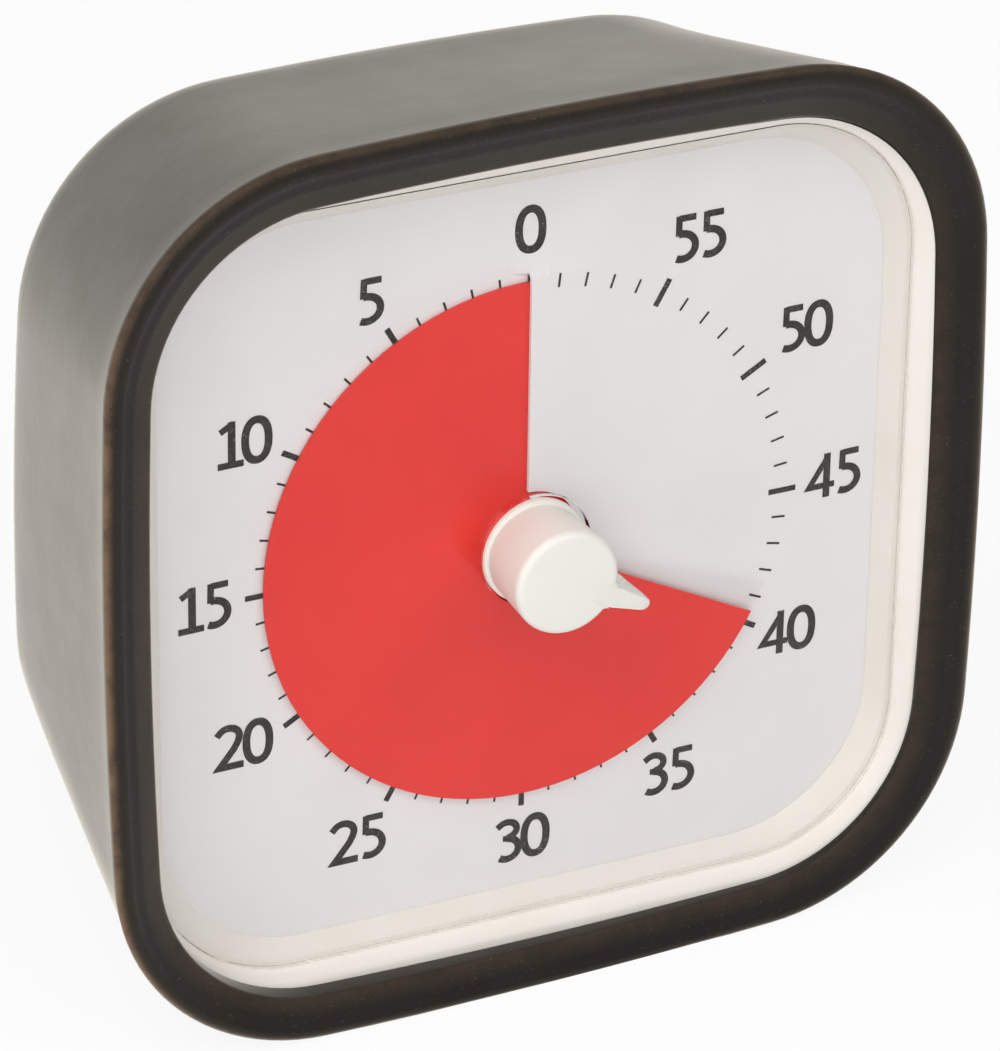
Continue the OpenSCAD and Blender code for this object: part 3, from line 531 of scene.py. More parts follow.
def srgb(red: float, green: float, blue: float) -> Colour:
    """Turn a colour as written on a paint card, 0 to 255, into light.

    Args:
        red: Red part.
        green: Green part.
        blue: Blue part.

    Returns:
        The linear colour.
    """
    def channel(value: float) -> float:
        """Linear value of one channel."""
        part = value / 255
        return part / 12.92 if part <= 0.04045 else ((part + 0.055) / 1.055) ** 2.4
    return channel(red), channel(green), channel(blue)


class Brew:
    """A material's node tree while it is put together, on the dial's millimetres."""

    def __init__(self, name: str) -> None:
        """Start an empty material.

        Args:
            name: Name of the material.
        """
        self.material = bpy.data.materials.new(name)
        self.material.use_nodes = True
        self.nodes = self.material.node_tree.nodes
        self.links = self.material.node_tree.links
        self.nodes.clear()
        self.output = self.nodes.new("ShaderNodeOutputMaterial")
        along, height = Clock().stand
        self.place = self.add("ShaderNodeMapping", vector_type="TEXTURE")
        self.place.inputs["Location"].default_value = (0, along * MM, height * MM)
        self.place.inputs["Rotation"].default_value = (math.radians(90 - Clock().sole_draft), 0, 0)
        self.place.inputs["Scale"].default_value = (MM, MM, MM)
        self.join(self.add("ShaderNodeTexCoord").outputs["Object"], self.place.inputs["Vector"])

    def add(self, kind: str, **settings: object) -> bpy.types.Node:
        """Add a node and set its properties.

        Args:
            kind: Blender's name of the node.
            **settings: Properties of the node.

        Returns:
            The node.
        """
        node = self.nodes.new(kind)
        for key, value in settings.items():
            setattr(node, key, value)
        return node

    def join(self, source: bpy.types.NodeSocket, target: bpy.types.NodeSocket) -> None:
        """Link two sockets."""
        self.links.new(source, target)

    def noise(self, size_mm: float, detail: float = 3.0, roughness: float = 0.55,
              stretch: Point = (1, 1, 1), offset: float = 0.0) -> bpy.types.NodeSocket:
        """Noise with patches of a size.

        Args:
            size_mm: Size of a patch.
            detail: Octaves of finer noise.
            roughness: Weight of the finer noise.
            stretch: How much longer the patches are along each axis of the dial.
            offset: Shift that makes a pattern of its own.

        Returns:
            The noise's value.
        """
        mapping = self.add("ShaderNodeMapping")
        mapping.inputs["Location"].default_value = (offset, offset * 0.7, offset * 1.3)
        mapping.inputs["Scale"].default_value = tuple(1 / s for s in stretch)
        self.join(self.place.outputs["Vector"], mapping.inputs["Vector"])
        noise = self.add("ShaderNodeTexNoise")
        noise.inputs["Scale"].default_value = 1 / size_mm
        noise.inputs["Detail"].default_value = detail
        noise.inputs["Roughness"].default_value = roughness
        self.join(mapping.outputs["Vector"], noise.inputs["Vector"])
        return noise.outputs["Fac"]

    def window(self, value: bpy.types.NodeSocket, low: float, high: float,
               to_low: float = 0.0, to_high: float = 1.0) -> bpy.types.NodeSocket:
        """Map a range of a value to another, held at its ends.

        Args:
            value: The value.
            low: Start of the range.
            high: End of the range.
            to_low: Result at the start.
            to_high: Result at the end.

        Returns:
            The mapped value.
        """
        node = self.add("ShaderNodeMapRange", clamp=True, interpolation_type="SMOOTHSTEP")
        self.join(value, node.inputs["Value"])
        for key, number in (("From Min", low), ("From Max", high),
                            ("To Min", to_low), ("To Max", to_high)):
            node.inputs[key].default_value = number
        return node.outputs["Result"]

    def blend(self, factor: bpy.types.NodeSocket, first: bpy.types.NodeSocket | Colour,
              second: bpy.types.NodeSocket | Colour) -> bpy.types.NodeSocket:
        """Mix two colours.

        Args:
            factor: Share of the second colour.
            first: First colour.
            second: Second colour.

        Returns:
            The mixed colour.
        """
        node = self.add("ShaderNodeMix", data_type="RGBA")
        self.join(factor, node.inputs[0])
        for socket, colour in ((node.inputs[6], first), (node.inputs[7], second)):
            if isinstance(colour, tuple):
                socket.default_value = (*colour, 1)
            else:
                self.join(colour, socket)
        return node.outputs[2]

    def calc(self, operation: str, first: bpy.types.NodeSocket,
             second: bpy.types.NodeSocket | float) -> bpy.types.NodeSocket:
        """Combine two values.

        Args:
            operation: Blender's name of the operation.
            first: First value.
            second: Second value.

        Returns:
            The result.
        """
        node = self.add("ShaderNodeMath", operation=operation)
        self.join(first, node.inputs[0])
        if isinstance(second, float):
            node.inputs[1].default_value = second
        else:
            self.join(second, node.inputs[1])
        return node.outputs[0]

    def bump(self, height: bpy.types.NodeSocket, depth_mm: float,
             under: bpy.types.NodeSocket | None = None) -> bpy.types.NodeSocket:
        """Raise the surface by a height.

        Args:
            height: Height from 0 to 1.
            depth_mm: Real height of 1.
            under: Normal of a coarser bump below.

        Returns:
            The bumped normal.
        """
        node = self.add("ShaderNodeBump")
        node.inputs["Strength"].default_value = 1.0
        node.inputs["Distance"].default_value = depth_mm * MM
        self.join(height, node.inputs["Height"])
        if under is not None:
            self.join(under, node.inputs["Normal"])
        return node.outputs["Normal"]

    def principled(self, **sockets: object) -> bpy.types.Node:
        """Add the main shader.

        Args:
            **sockets: Values of its sockets, with underscores for the spaces in their names.

        Returns:
            The shader node, linked to the output.
        """
        shader = self.add("ShaderNodeBsdfPrincipled")
        for key, value in sockets.items():
            shader.inputs[key.replace("_", " ")].default_value = value
        self.join(shader.outputs[0], self.output.inputs["Surface"])
        return shader


@dataclass(frozen=True)
class Finish:
    """A moulded, printed or plated surface with the small unevenness of a real one."""

    name: str
    colour: Colour
    second: Colour | None = None
    patch_mm: float = 5.0
    patch: float = 0.5
    roughness: float = 0.4
    roughness_spread: float = 0.08
    grain_mm: float = 0.2
    grain_depth_mm: float = 0.004
    stretch: Point = (1, 1, 1)
    metallic: float = 0.0
    specular: float = 0.5
    coat: float = 0.0
    specks: float = 0.0
    speck_mm: float = 0.25
    speck_colour: Colour = (0.8, 0.78, 0.74)

    def tint(self, brew: Brew) -> bpy.types.NodeSocket:
        """Lay down the colour with its patches and specks.

        Args:
            brew: The material under way.

        Returns:
            The colour.
        """
        second = self.second or tuple(0.86 * part for part in self.colour)
        broad = brew.noise(self.patch_mm, 4.0, 0.6, self.stretch, 3.1)
        share = brew.window(broad, 0.35, 0.68, 0.0, self.patch)
        colour = brew.blend(share, self.colour, second)
        if self.specks:
            spots = brew.noise(self.speck_mm, 2.0, 0.5, offset=17.0)
            fields = brew.noise(self.speck_mm * 14, 2.0, 0.5, offset=5.0)
            edge = 0.80 - 0.10 * self.specks
            shown = brew.window(brew.calc("ADD", spots, brew.calc("MULTIPLY", fields, 0.16)),
                                edge, edge + 0.05)
            colour = brew.blend(shown, colour, self.speck_colour)
        return colour

    def make(self) -> bpy.types.Material:
        """Build the material.

        Returns:
            The finished material.
        """
        brew = Brew(self.name)
        shader = brew.principled(Metallic=self.metallic, Specular_IOR_Level=self.specular,
                                 Coat_Weight=self.coat)
        brew.join(self.tint(brew), shader.inputs["Base Color"])
        cloud = brew.noise(self.patch_mm * 0.45, 3.0, 0.6, self.stretch, 8.0)
        brew.join(brew.window(cloud, 0.3, 0.7, max(0.05, self.roughness - self.roughness_spread),
                              self.roughness + self.roughness_spread),
                  shader.inputs["Roughness"])
        grain = brew.noise(self.grain_mm, 2.0, 0.5, self.stretch, 1.0)
        brew.join(brew.bump(grain, self.grain_depth_mm), shader.inputs["Normal"])
        return brew.material


@dataclass(frozen=True)
class Silicone(Finish):
    """Soft matt rubber that shows dust, with a paler brownish rim light painted along its edges."""

    sheen: float = 1.0
    sheen_roughness: float = 0.38
    sheen_tint: Colour = (1.0, 0.955, 0.86)
    # Painted rim light: its colour, the heights over which it fades towards the top, and the size
    # of its patches.
    rim: Colour = (0.17, 0.105, 0.06)
    rim_fades: tuple[float, float] = (15.0, 43.0)
    rim_patch_mm: float = 2.5
    cloud_mm: float = 6.0
    dent_mm: float = 1.6
    dent_depth_mm: float = 0.012

    def make(self) -> bpy.types.Material:
        """Build the material.

        Returns:
            The finished material.
        """
        brew = Brew(self.name)
        shader = brew.principled(Specular_IOR_Level=self.specular, Sheen_Weight=self.sheen,
                                 Sheen_Roughness=self.sheen_roughness,
                                 Sheen_Tint=(*self.sheen_tint, 1.0))
        colour = self.tint(brew)
        # Painted rim light: a paler brown laid over the edges that the sleeve's mesh marks,
        # strongest lower down and broken into patches.
        rim_lit = brew.add("ShaderNodeAttribute", attribute_name="rim")
        upright = brew.add("ShaderNodeSeparateXYZ")
        brew.join(brew.place.outputs["Vector"], upright.inputs["Vector"])
        low_down = brew.window(upright.outputs["Y"], *self.rim_fades, 1.0, 0.3)
        patches = brew.window(brew.noise(self.rim_patch_mm, 4.0, 0.65, offset=11.0),
                              0.25, 0.6, 0.35, 1.0)
        rim_lit_share = brew.calc("MULTIPLY", rim_lit.outputs["Fac"], low_down)
        rim_lit_share = brew.calc("MULTIPLY", rim_lit_share, patches)
        brew.join(brew.blend(rim_lit_share, colour, self.rim), shader.inputs["Base Color"])
        cloud = brew.noise(self.cloud_mm, 4.0, 0.6, offset=2.0)
        brew.join(brew.window(cloud, 0.3, 0.7, self.roughness - self.roughness_spread,
                              self.roughness + self.roughness_spread), shader.inputs["Roughness"])
        soft = brew.bump(brew.noise(self.dent_mm, 2.0, 0.5, offset=6.0), self.dent_depth_mm)
        grain = brew.noise(self.grain_mm, 2.0, 0.6, offset=1.0)
        brew.join(brew.bump(grain, self.grain_depth_mm, soft), shader.inputs["Normal"])
        return brew.material


@dataclass(frozen=True)
class Clear:
    """Clear acrylic that lets lamps through to what lies behind it."""

    name: str
    tint: Colour = (0.99, 0.99, 0.987)
    roughness: float = 0.01
    ior: float = 1.49
    gloss: float = 0.35
    through: Colour = (0.945, 0.945, 0.942)
    haze_mm: float = 7.0
    smear_mm: float = 11.0

    def make(self) -> bpy.types.Material:
        """Build the material.

        Returns:
            The finished material.
        """
        brew = Brew(self.name)
        shader = brew.principled(Transmission_Weight=1.0, IOR=self.ior,
                                 Specular_Tint=(self.gloss, self.gloss, self.gloss, 1.0))
        haze = brew.window(brew.noise(self.haze_mm, 3.0, 0.6), 0.35, 0.75, self.roughness,
                           self.roughness + 0.02)
        brew.join(haze, shader.inputs["Roughness"])
        smear = brew.window(brew.noise(self.smear_mm, 4.0, 0.7, offset=4.0), 0.4, 0.8)
        brew.join(brew.blend(smear, self.tint, tuple(0.985 * part for part in self.tint)),
                  shader.inputs["Base Color"])
        through = brew.add("ShaderNodeBsdfTransparent")
        through.inputs["Color"].default_value = (*self.through, 1)
        path = brew.add("ShaderNodeLightPath")
        mix = brew.add("ShaderNodeMixShader")
        brew.join(brew.calc("MAXIMUM", path.outputs["Is Shadow Ray"],
                            path.outputs["Is Diffuse Ray"]), mix.inputs[0])
        brew.join(shader.outputs[0], mix.inputs[1])
        brew.join(through.outputs[0], mix.inputs[2])
        brew.join(mix.outputs[0], brew.output.inputs["Surface"])
        return brew.material


class Stock(Enum):
    """The finishes that the pieces are made in."""

    SILICONE = Silicone("charcoal_silicone", srgb(23, 19, 15), srgb(29, 24, 19), patch_mm=9.0,
                        patch=0.55, roughness=0.46, roughness_spread=0.05, grain_mm=0.16,
                        grain_depth_mm=0.006, specular=0.17, specks=0.4, speck_mm=0.2,
                        speck_colour=srgb(70, 65, 59))
    CASE = Finish("white_case_plastic", srgb(236, 231, 225), srgb(231, 225, 217), patch_mm=8.0,
                  patch=0.6, roughness=0.36, grain_mm=0.35, grain_depth_mm=0.003)
    BACK = Finish("white_back_plastic", srgb(236, 234, 229), srgb(226, 222, 215), patch_mm=9.0,
                  patch=0.6, roughness=0.5, grain_mm=0.3, grain_depth_mm=0.008)
    PRINT = Finish("dial_card_print", srgb(238, 235, 236), srgb(234, 231, 232), patch_mm=14.0,
                   patch=0.7, roughness=0.52, grain_mm=0.25, grain_depth_mm=0.002, specular=0.2)
    INK = Finish("dial_ink", srgb(27, 21, 16), srgb(22, 17, 13), patch_mm=2.0, patch=0.6,
                 roughness=0.5, grain_mm=0.12, grain_depth_mm=0.003, specular=0.2, specks=0.9,
                 speck_mm=0.14, speck_colour=srgb(150, 140, 130))
    CARRIER = Finish("carrier_plastic", srgb(238, 237, 233), patch_mm=7.0, patch=0.4,
                     roughness=0.45)
    RED = Finish("red_disc_film", srgb(238, 46, 37), srgb(232, 40, 33), patch_mm=12.0, patch=0.8,
                 roughness=0.42, grain_mm=0.6, grain_depth_mm=0.0002, specular=0.2, specks=0.3,
                 speck_mm=0.14, speck_colour=srgb(238, 110, 98))
    HUB = Finish("hub_plastic", srgb(236, 236, 232), patch_mm=3.0, patch=0.4, roughness=0.4)
    KNOB = Finish("knob_plastic", srgb(234, 233, 227), srgb(231, 229, 222), patch_mm=6.0,
                  patch=0.4, roughness=0.4, roughness_spread=0.03, grain_mm=0.3,
                  grain_depth_mm=0.0015)
    STEEL = Finish("turned_steel", (0.56, 0.56, 0.57), (0.44, 0.44, 0.45), patch_mm=1.5,
                   patch=0.6, roughness=0.28, roughness_spread=0.08, grain_mm=0.1,
                   grain_depth_mm=0.002, stretch=(1, 1, 6), metallic=1.0)
    SPRING = Finish("rolled_steel", (0.62, 0.61, 0.6), (0.5, 0.49, 0.47), patch_mm=1.2, patch=0.5,
                    roughness=0.25, roughness_spread=0.06, grain_mm=0.12, grain_depth_mm=0.002,
                    stretch=(3, 1, 1), metallic=1.0)
    BRASS = Finish("yellow_brass", (0.72, 0.52, 0.22), (0.6, 0.41, 0.16), patch_mm=2.0, patch=0.6,
                   roughness=0.3, roughness_spread=0.08, grain_mm=0.12, grain_depth_mm=0.002,
                   metallic=1.0)
    GEAR = Finish("gear_acetal", srgb(240, 236, 224), srgb(228, 222, 206), patch_mm=2.0,
                  patch=0.5, roughness=0.42)
    MAGNET = Finish("rotor_ferrite", srgb(70, 68, 68), srgb(54, 52, 52), patch_mm=0.8, patch=0.6,
                    roughness=0.5)
    CORE = Finish("stator_iron", (0.42, 0.42, 0.43), (0.33, 0.33, 0.34), patch_mm=2.5, patch=0.6,
                  roughness=0.38, roughness_spread=0.1, grain_mm=0.15, grain_depth_mm=0.004,
                  metallic=1.0)
    BOBBIN = Finish("bobbin_nylon", srgb(222, 215, 196), patch_mm=1.5, patch=0.5, roughness=0.5)
    WINDING = Finish("enamelled_copper", (0.62, 0.24, 0.09), (0.46, 0.16, 0.06), patch_mm=0.6,
                     patch=0.7, roughness=0.3, roughness_spread=0.06, grain_mm=0.09,
                     grain_depth_mm=0.03, stretch=(12, 0.6, 12), metallic=0.85)
    MOVEMENT = Finish("movement_plastic", srgb(58, 58, 60), srgb(48, 48, 50), patch_mm=4.0,
                      patch=0.5, roughness=0.5, grain_mm=0.2, grain_depth_mm=0.008)
    BOARD = Finish("green_board", srgb(28, 96, 52), srgb(22, 80, 44), patch_mm=1.2, patch=0.8,
                   roughness=0.32, grain_mm=0.25, grain_depth_mm=0.006)
    CAN = Finish("quartz_can", (0.6, 0.6, 0.61), (0.5, 0.5, 0.51), patch_mm=1.0, patch=0.5,
                 roughness=0.24, roughness_spread=0.06, grain_mm=0.1, grain_depth_mm=0.001,
                 stretch=(1, 5, 1), metallic=1.0)
    CHIP = Finish("chip_epoxy", srgb(36, 36, 37), srgb(29, 29, 30), patch_mm=0.7, patch=0.6,
                  roughness=0.55)
    CELL = Finish("cell_sleeve", srgb(44, 46, 50), srgb(36, 38, 42), patch_mm=5.0, patch=0.5,
                  roughness=0.25, grain_mm=0.6, grain_depth_mm=0.002, coat=0.4)
    CONTACT = Finish("nickel_contact", (0.66, 0.63, 0.57), (0.54, 0.51, 0.46), patch_mm=1.2,
                     patch=0.6, roughness=0.26, roughness_spread=0.07, grain_mm=0.12,
                     grain_depth_mm=0.002, metallic=1.0)
    SWITCH = Finish("switch_plastic", srgb(34, 34, 35), srgb(27, 27, 28), patch_mm=2.0, patch=0.5,
                    roughness=0.45)
    SCREW = Finish("zinc_screw", (0.58, 0.58, 0.56), (0.45, 0.45, 0.44), patch_mm=0.9, patch=0.6,
                   roughness=0.32, roughness_spread=0.08, grain_mm=0.1, grain_depth_mm=0.003,
                   metallic=1.0)
    WIRE_RED = Finish("red_insulation", srgb(178, 26, 24), patch_mm=1.0, patch=0.5,
                      roughness=0.38)
    WIRE_BLACK = Finish("black_insulation", srgb(30, 30, 31), patch_mm=1.0, patch=0.5,
                        roughness=0.38)
    WIRE_YELLOW = Finish("yellow_insulation", srgb(222, 186, 48), patch_mm=1.0, patch=0.5,
                         roughness=0.38)
    LENS = Clear("lens_acrylic")
    FILM = Clear("clear_film", tint=(0.99, 0.985, 0.985), roughness=0.05, ior=1.12)

    def material(self) -> bpy.types.Material:
        """The finish's material, made the first time that it is asked for."""
        ready = bpy.data.materials.get(self.value.name)
        return ready or self.value.make()


def dress(piece: bpy.types.Object, stock: Stock) -> None:
    """Give a whole piece one finish.

    Args:
        piece: The piece, new or of the frame.
        stock: The finish.
    """
    if not piece.material_slots:
        piece.data.materials.append(stock.material())
    for slot in piece.material_slots:
        slot.material = stock.material()


@dataclass
class Assembly:
    """A group of pieces that ride on one body of the frame."""

    clock: Clock = field(default_factory=Clock)
    body: str = "housing"

    def stand_up(self, piece: bpy.types.Object, stock: Stock, slot: str,
                 *nodes: str) -> bpy.types.Object:
        """Take a piece from the dial's millimetres to its place, and finish and register it.

        Args:
            piece: The piece, modelled in millimetres.
            stock: Its finish.
            slot: The record's material slot; not used.
            *nodes: Solids of the frame that it stands for.

        Returns:
            The piece.
        """
        piece.data.transform(self.clock.standing())
        piece.data.update()
        return self.register(piece, stock, slot, *nodes)

    def register(self, piece: bpy.types.Object, stock: Stock, slot: str,
                 *nodes: str) -> bpy.types.Object:
        """Finish a piece that is in its place, and tell the frame about it.

        Args:
            piece: The piece.
            stock: Its finish.
            slot: The record's material slot; not used.
            *nodes: Solids of the frame that it stands for.

        Returns:
            The piece.
        """
        dress(piece, stock)
        if nodes:
            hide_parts(*nodes)
        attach(piece, self.body)
        LOG.info("made %s: %d faces on %s", piece.name, len(piece.data.polygons), self.body)
        return piece

    def keep(self, stock: Stock, *nodes: str) -> None:
        """Finish solids of the frame that stay as they are.

        Args:
            stock: Their finish.
            *nodes: Their names.
        """
        for node in nodes:
            dress(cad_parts[node], stock)
            LOG.info("finished %s in %s", node, stock.name.lower())


# ---------------------------------------------------------------- sleeve and case


@dataclass
class Sleeve(Assembly):
    """The soft sleeve: a lip over the front, drafted sides and a round back with an opening."""

    wall: float = 2.0
    lip_edge_r: float = 0.45
    ridge_r: float = 0.35
    ridge_drop: float = 0.14
    ridge_rise: float = 0.06
    # Share of painted rim light on the rounded edge of the lip's opening.
    lip_edge_wear: float = 0.15
    facet_w: float = 2.1
    lip_low: float = 4.95
    facet_high: float = 5.85
    rim_r: float = 0.75
    # Share of painted rim light at angles round the turn of the outer front edge.
    rim_wear: tuple[tuple[float, float], ...] = ((0, 0.05), (20, 0.25), (40, 0.7), (60, 1.0),
                                                 (80, 0.9))
    back_open_w: float = 57.0
    back_open_h: float = 55.0
    back_open_r: float = 5.0
    back_edge_r: float = 0.5
    lip_over: float = 0.06
    still_depth: float = -20.0
    moved_depth: float = 2.0
    side_depths: tuple[float, ...] = (4.6, 2.0, -2.0, -7.0, -12.0, -17.0, -22.0)
    inner_depths: tuple[float, ...] = (-16.0, -8.0)
    edge_wider: tuple[float, float] = (0.35, 0.45)
    edge_aside: tuple[float, float] = (0.85, 0.3)
    lip_wider: tuple[float, float] = (-0.35, 0.15)
    lip_aside: tuple[float, float] = (0.76, -0.48)
    tilt: tuple[float, float] = (-0.019, -0.012)

    def front_section(self, half: float, depth: float) -> Ring:
        """Section of the front, whose corners keep in step with its width.

        Args:
            half: Half the width.
            depth: Place along the dial's axis.

        Returns:
            The points of the section.
        """
        clock = self.clock
        outline = rounded_square(half, half - clock.face_half + clock.face_corner_r,
                                 clock.side_bulge_r)
        return [(x, y, depth) for x, y in outline]

    def askew(self, ring: Ring, out: float = 1.0, tilted: bool = True) -> Ring:
        """Move a section as the soft front sits on the case: swollen, aside and tilted.

        Args:
            ring: The section.
            out: 0 at the lip's opening, 1 at the outer edge and along the side.
            tilted: Whether it tilts, as all but the foot of the lip does.

        Returns:
            The section where it sits, unmoved near the back.
        """
        wider = [a + (b - a) * out for a, b in zip(self.lip_wider, self.edge_wider)]
        aside = [a + (b - a) * out for a, b in zip(self.lip_aside, self.edge_aside)]
        half = self.clock.face_half
        moved: Ring = []
        for x, y, z in ring:
            share = (z - self.still_depth) / (self.moved_depth - self.still_depth)
            share = min(1.0, max(0.0, share))
            rise = (self.tilt[0] * x + self.tilt[1] * y) * share if tilted else 0.0
            moved.append((x + (wider[0] * x / half + aside[0]) * share,
                          y + (wider[1] * y / half + aside[1]) * share, z + rise))
        return moved

    def lip(self) -> list[tuple[Ring, float]]:
        """Sections over the lip, from its opening to the turn of the front edge.

        Returns:
            The sections, each with its share of painted rim light.
        """
        clock = self.clock
        inner = clock.face_half - clock.lip_w
        ridge = inner + self.facet_w
        edge = clock.face_half - self.rim_r
        places = [(inner, self.lip_low - self.lip_edge_r, 0.0)]
        for angle in (30, 60, 90):
            turn = math.radians(angle)
            places.append((inner + self.lip_edge_r * (1 - math.cos(turn)),
                           self.lip_low - self.lip_edge_r * (1 - math.sin(turn)),
                           self.lip_edge_wear))
        places += [(ridge - self.ridge_r, self.facet_high - self.ridge_drop, 0.0),
                   (ridge, self.facet_high, 0.0),
                   (ridge + self.ridge_r, self.facet_high + self.ridge_rise, 0.0),
                   ((ridge + edge) / 2, (self.facet_high + clock.face_rise) / 2 + 0.04, 0.0),
                   (edge - 0.5, clock.face_rise - 0.02, 0.0)]
        for angle, level in self.rim_wear:
            turn = math.radians(angle)
            places.append((edge + self.rim_r * math.sin(turn),
                           clock.face_rise - self.rim_r * (1 - math.cos(turn)), level))
        return [(self.askew(self.front_section(half, depth), (half - inner) / clock.lip_w), level)
                for half, depth, level in places]

    def back_round(self, inset: float) -> list[Ring]:
        """Sections round the back edge.

        Args:
            inset: How much further in than the outer wall they lie.

        Returns:
            The sections from the side to the flat back.
        """
        clock = self.clock
        rounding = clock.back_round_r - inset
        draft = math.radians(clock.side_draft)
        rings: list[Ring] = []
        for step in range(11):
            angle = draft + (math.pi / 2 - draft) * step / 10
            rings.append(clock.body(clock.round_centre - rounding * math.sin(angle),
                                    rounding * (math.cos(draft) - math.cos(angle)), inset))
        return rings

    def opening(self, wider: float, depth: float) -> Ring:
        """Section of the opening in the back.

        Args:
            wider: How much it is widened all round.
            depth: Place along the dial's axis.

        Returns:
            The points of the section.
        """
        clock = self.clock
        half, corner = self.back_open_w / 2 + wider, self.back_open_r + wider
        high = self.back_open_h / 2 + wider
        middle = (clock.drafted(clock.round_start, clock.top_draft)
                  - clock.drafted(clock.round_start, clock.sole_draft)) / 2
        return drawn_ends(rounded_square(half, corner, clock.side_bulge_r),
                          corner_place(half, corner, clock.side_bulge_r),
                          half - high - middle, half - high + middle, depth)

    def sections(self) -> tuple[list[Ring], list[float]]:
        """All the sections, over the lip, along the side, round the back and inside to the front.

        Returns:
            The sections in order, and each one's share of painted rim light.
        """
        clock = self.clock
        back, under = -clock.body_back, clock.case_front + self.lip_over
        foot = self.front_section(clock.face_half - clock.lip_w, under)
        rings = [self.askew(foot, 0.0, False)]
        rim_lit = [0.0]
        for ring, level in self.lip():
            rings.append(ring)
            rim_lit.append(level)
        rings += [self.askew(clock.body(depth)) for depth in self.side_depths]
        rings += [self.askew(ring) for ring in self.back_round(0.0)]
        rounding = self.back_edge_r
        rings.append(between(rings[-1], self.opening(rounding, back), 0.5))
        for angle in (0, 30, 60, 90):
            turn = math.radians(angle)
            rings.append(self.opening(rounding * (1 - math.sin(turn)),
                                      back + rounding * (1 - math.cos(turn))))
        rings.append(self.opening(0.0, back + self.wall))
        rings += reversed(self.back_round(self.wall))
        rings += [clock.body(depth, 0.0, self.wall) for depth in (*self.inner_depths, under)]
        return rings, rim_lit + [0.0] * (len(rings) - len(rim_lit))

    def rest(self, place: Vector) -> Point:
        """Flatten the sole where it meets the table.

        Args:
            place: A point of the sleeve.

        Returns:
            Where it rests.
        """
        lean = math.radians(self.clock.sole_draft)
        _, height = self.clock.stand
        floor = -(height + place.z * math.sin(lean)) / math.cos(lean)
        return place.x, max(place.y, floor), place.z

    def build(self) -> None:
        """Model the sleeve and finish it."""
        rings, rim_lit = self.sections()
        # The sections' shares of painted rim light go onto the skin as an attribute.
        piece = Bench.skin("soft_sleeve", rings, True, rim_lit)
        Bench.shape(piece, self.rest)
        Bench.smooth(piece, 50)
        self.stand_up(piece, Stock.SILICONE, "silicone", "sleeve")


@dataclass
class Case(Assembly):
    """The white case: a front frame with its bevel, and the back with door, screws and switch."""

    rim_flare: float = 1.6
    lens_ledge: float = 0.5
    bevel_middle: float = 1.05
    edge_r: float = 0.22
    card_gap: float = 0.03
    tray_gap: float = 0.1
    back_edge_m: float = 0.0002
    screw_edge_m: float = 0.00012

    def frame_rings(self) -> list[Ring]:
        """Sections round the front frame, from the foot of the bevel to its back.

        Returns:
            The sections of the closed frame.
        """
        clock = self.clock
        seat, seat_r = clock.face_half - clock.lip_w - clock.rim_w, clock.lens_seat_r
        dial, dial_r = seat - clock.bevel_w, clock.dial_corner_r
        ledge, ledge_r = seat - self.lens_ledge, seat_r - self.lens_ledge
        card = clock.card_t / 2 + self.card_gap
        top = clock.lens_front - clock.lens_t
        flare = clock.case_front - clock.lens_front

        def straight(half: float, corner: float, depth: float) -> Ring:
            """Section with straight sides."""
            return [(x, y, depth) for x, y in
                    rounded_square(half, corner, clock.straight_side_r)]

        def seat_out(wider: float, depth: float) -> Ring:
            """Section wider than the lens seat."""
            return straight(seat + wider, seat_r + wider, depth)

        def drafted(inset: float, depth: float) -> Ring:
            """Section of the outside."""
            return clock.body(depth, 0.0, clock.case_inset + inset)

        rings = [straight(dial, dial_r, card),
                 straight(dial + 0.05, dial_r + 0.05, card + 0.09),
                 straight((dial + ledge) / 2, (dial_r + seat_r) / 2 - 0.2, self.bevel_middle),
                 straight(ledge - 0.1, ledge_r - 0.1, top - 0.06),
                 straight(ledge + 0.05, ledge_r + 0.05, top),
                 seat_out(0.0, top),
                 seat_out(0.0, clock.lens_front - self.edge_r),
                 seat_out(0.08, clock.lens_front - 0.05),
                 seat_out(self.edge_r, clock.lens_front + self.edge_r * flare / self.rim_flare)]
        rings += [seat_out(self.rim_flare * part, clock.lens_front + flare * part)
                  for part in (0.35, 0.7, 0.94)]
        rings.append(seat_out(self.rim_flare + 0.15, clock.case_front))
        rings += [drafted(inset, clock.case_front - drop)
                  for inset, drop in ((0.3, 0.0), (0.08, 0.1), (0.0, 0.3))]
        rings.append(drafted(0.0, -clock.case_joint))
        tray, tray_r = clock.card_half + self.tray_gap, clock.card_corner_r + self.tray_gap
        rings += [straight(tray, tray_r, depth) for depth in (-clock.case_joint, card)]
        return rings

    def build(self) -> None:
        """Model the front frame, and round the edges of the pieces at the back."""
        frame_piece = Bench.skin("case_frame", self.frame_rings(), closed=True)
        Bench.smooth(frame_piece, 40)
        self.stand_up(frame_piece, Stock.CASE, "case_white", "front_case")
        self.register(Bench.softened("rear_case", self.back_edge_m, "case_back"), Stock.BACK,
                      "back_white", "rear_case")
        self.register(Bench.softened("case_screws", self.screw_edge_m, "case_screw_set"),
                      Stock.SCREW, "screw_zinc", "case_screws")
        self.keep(Stock.CARRIER, "dial_carrier")


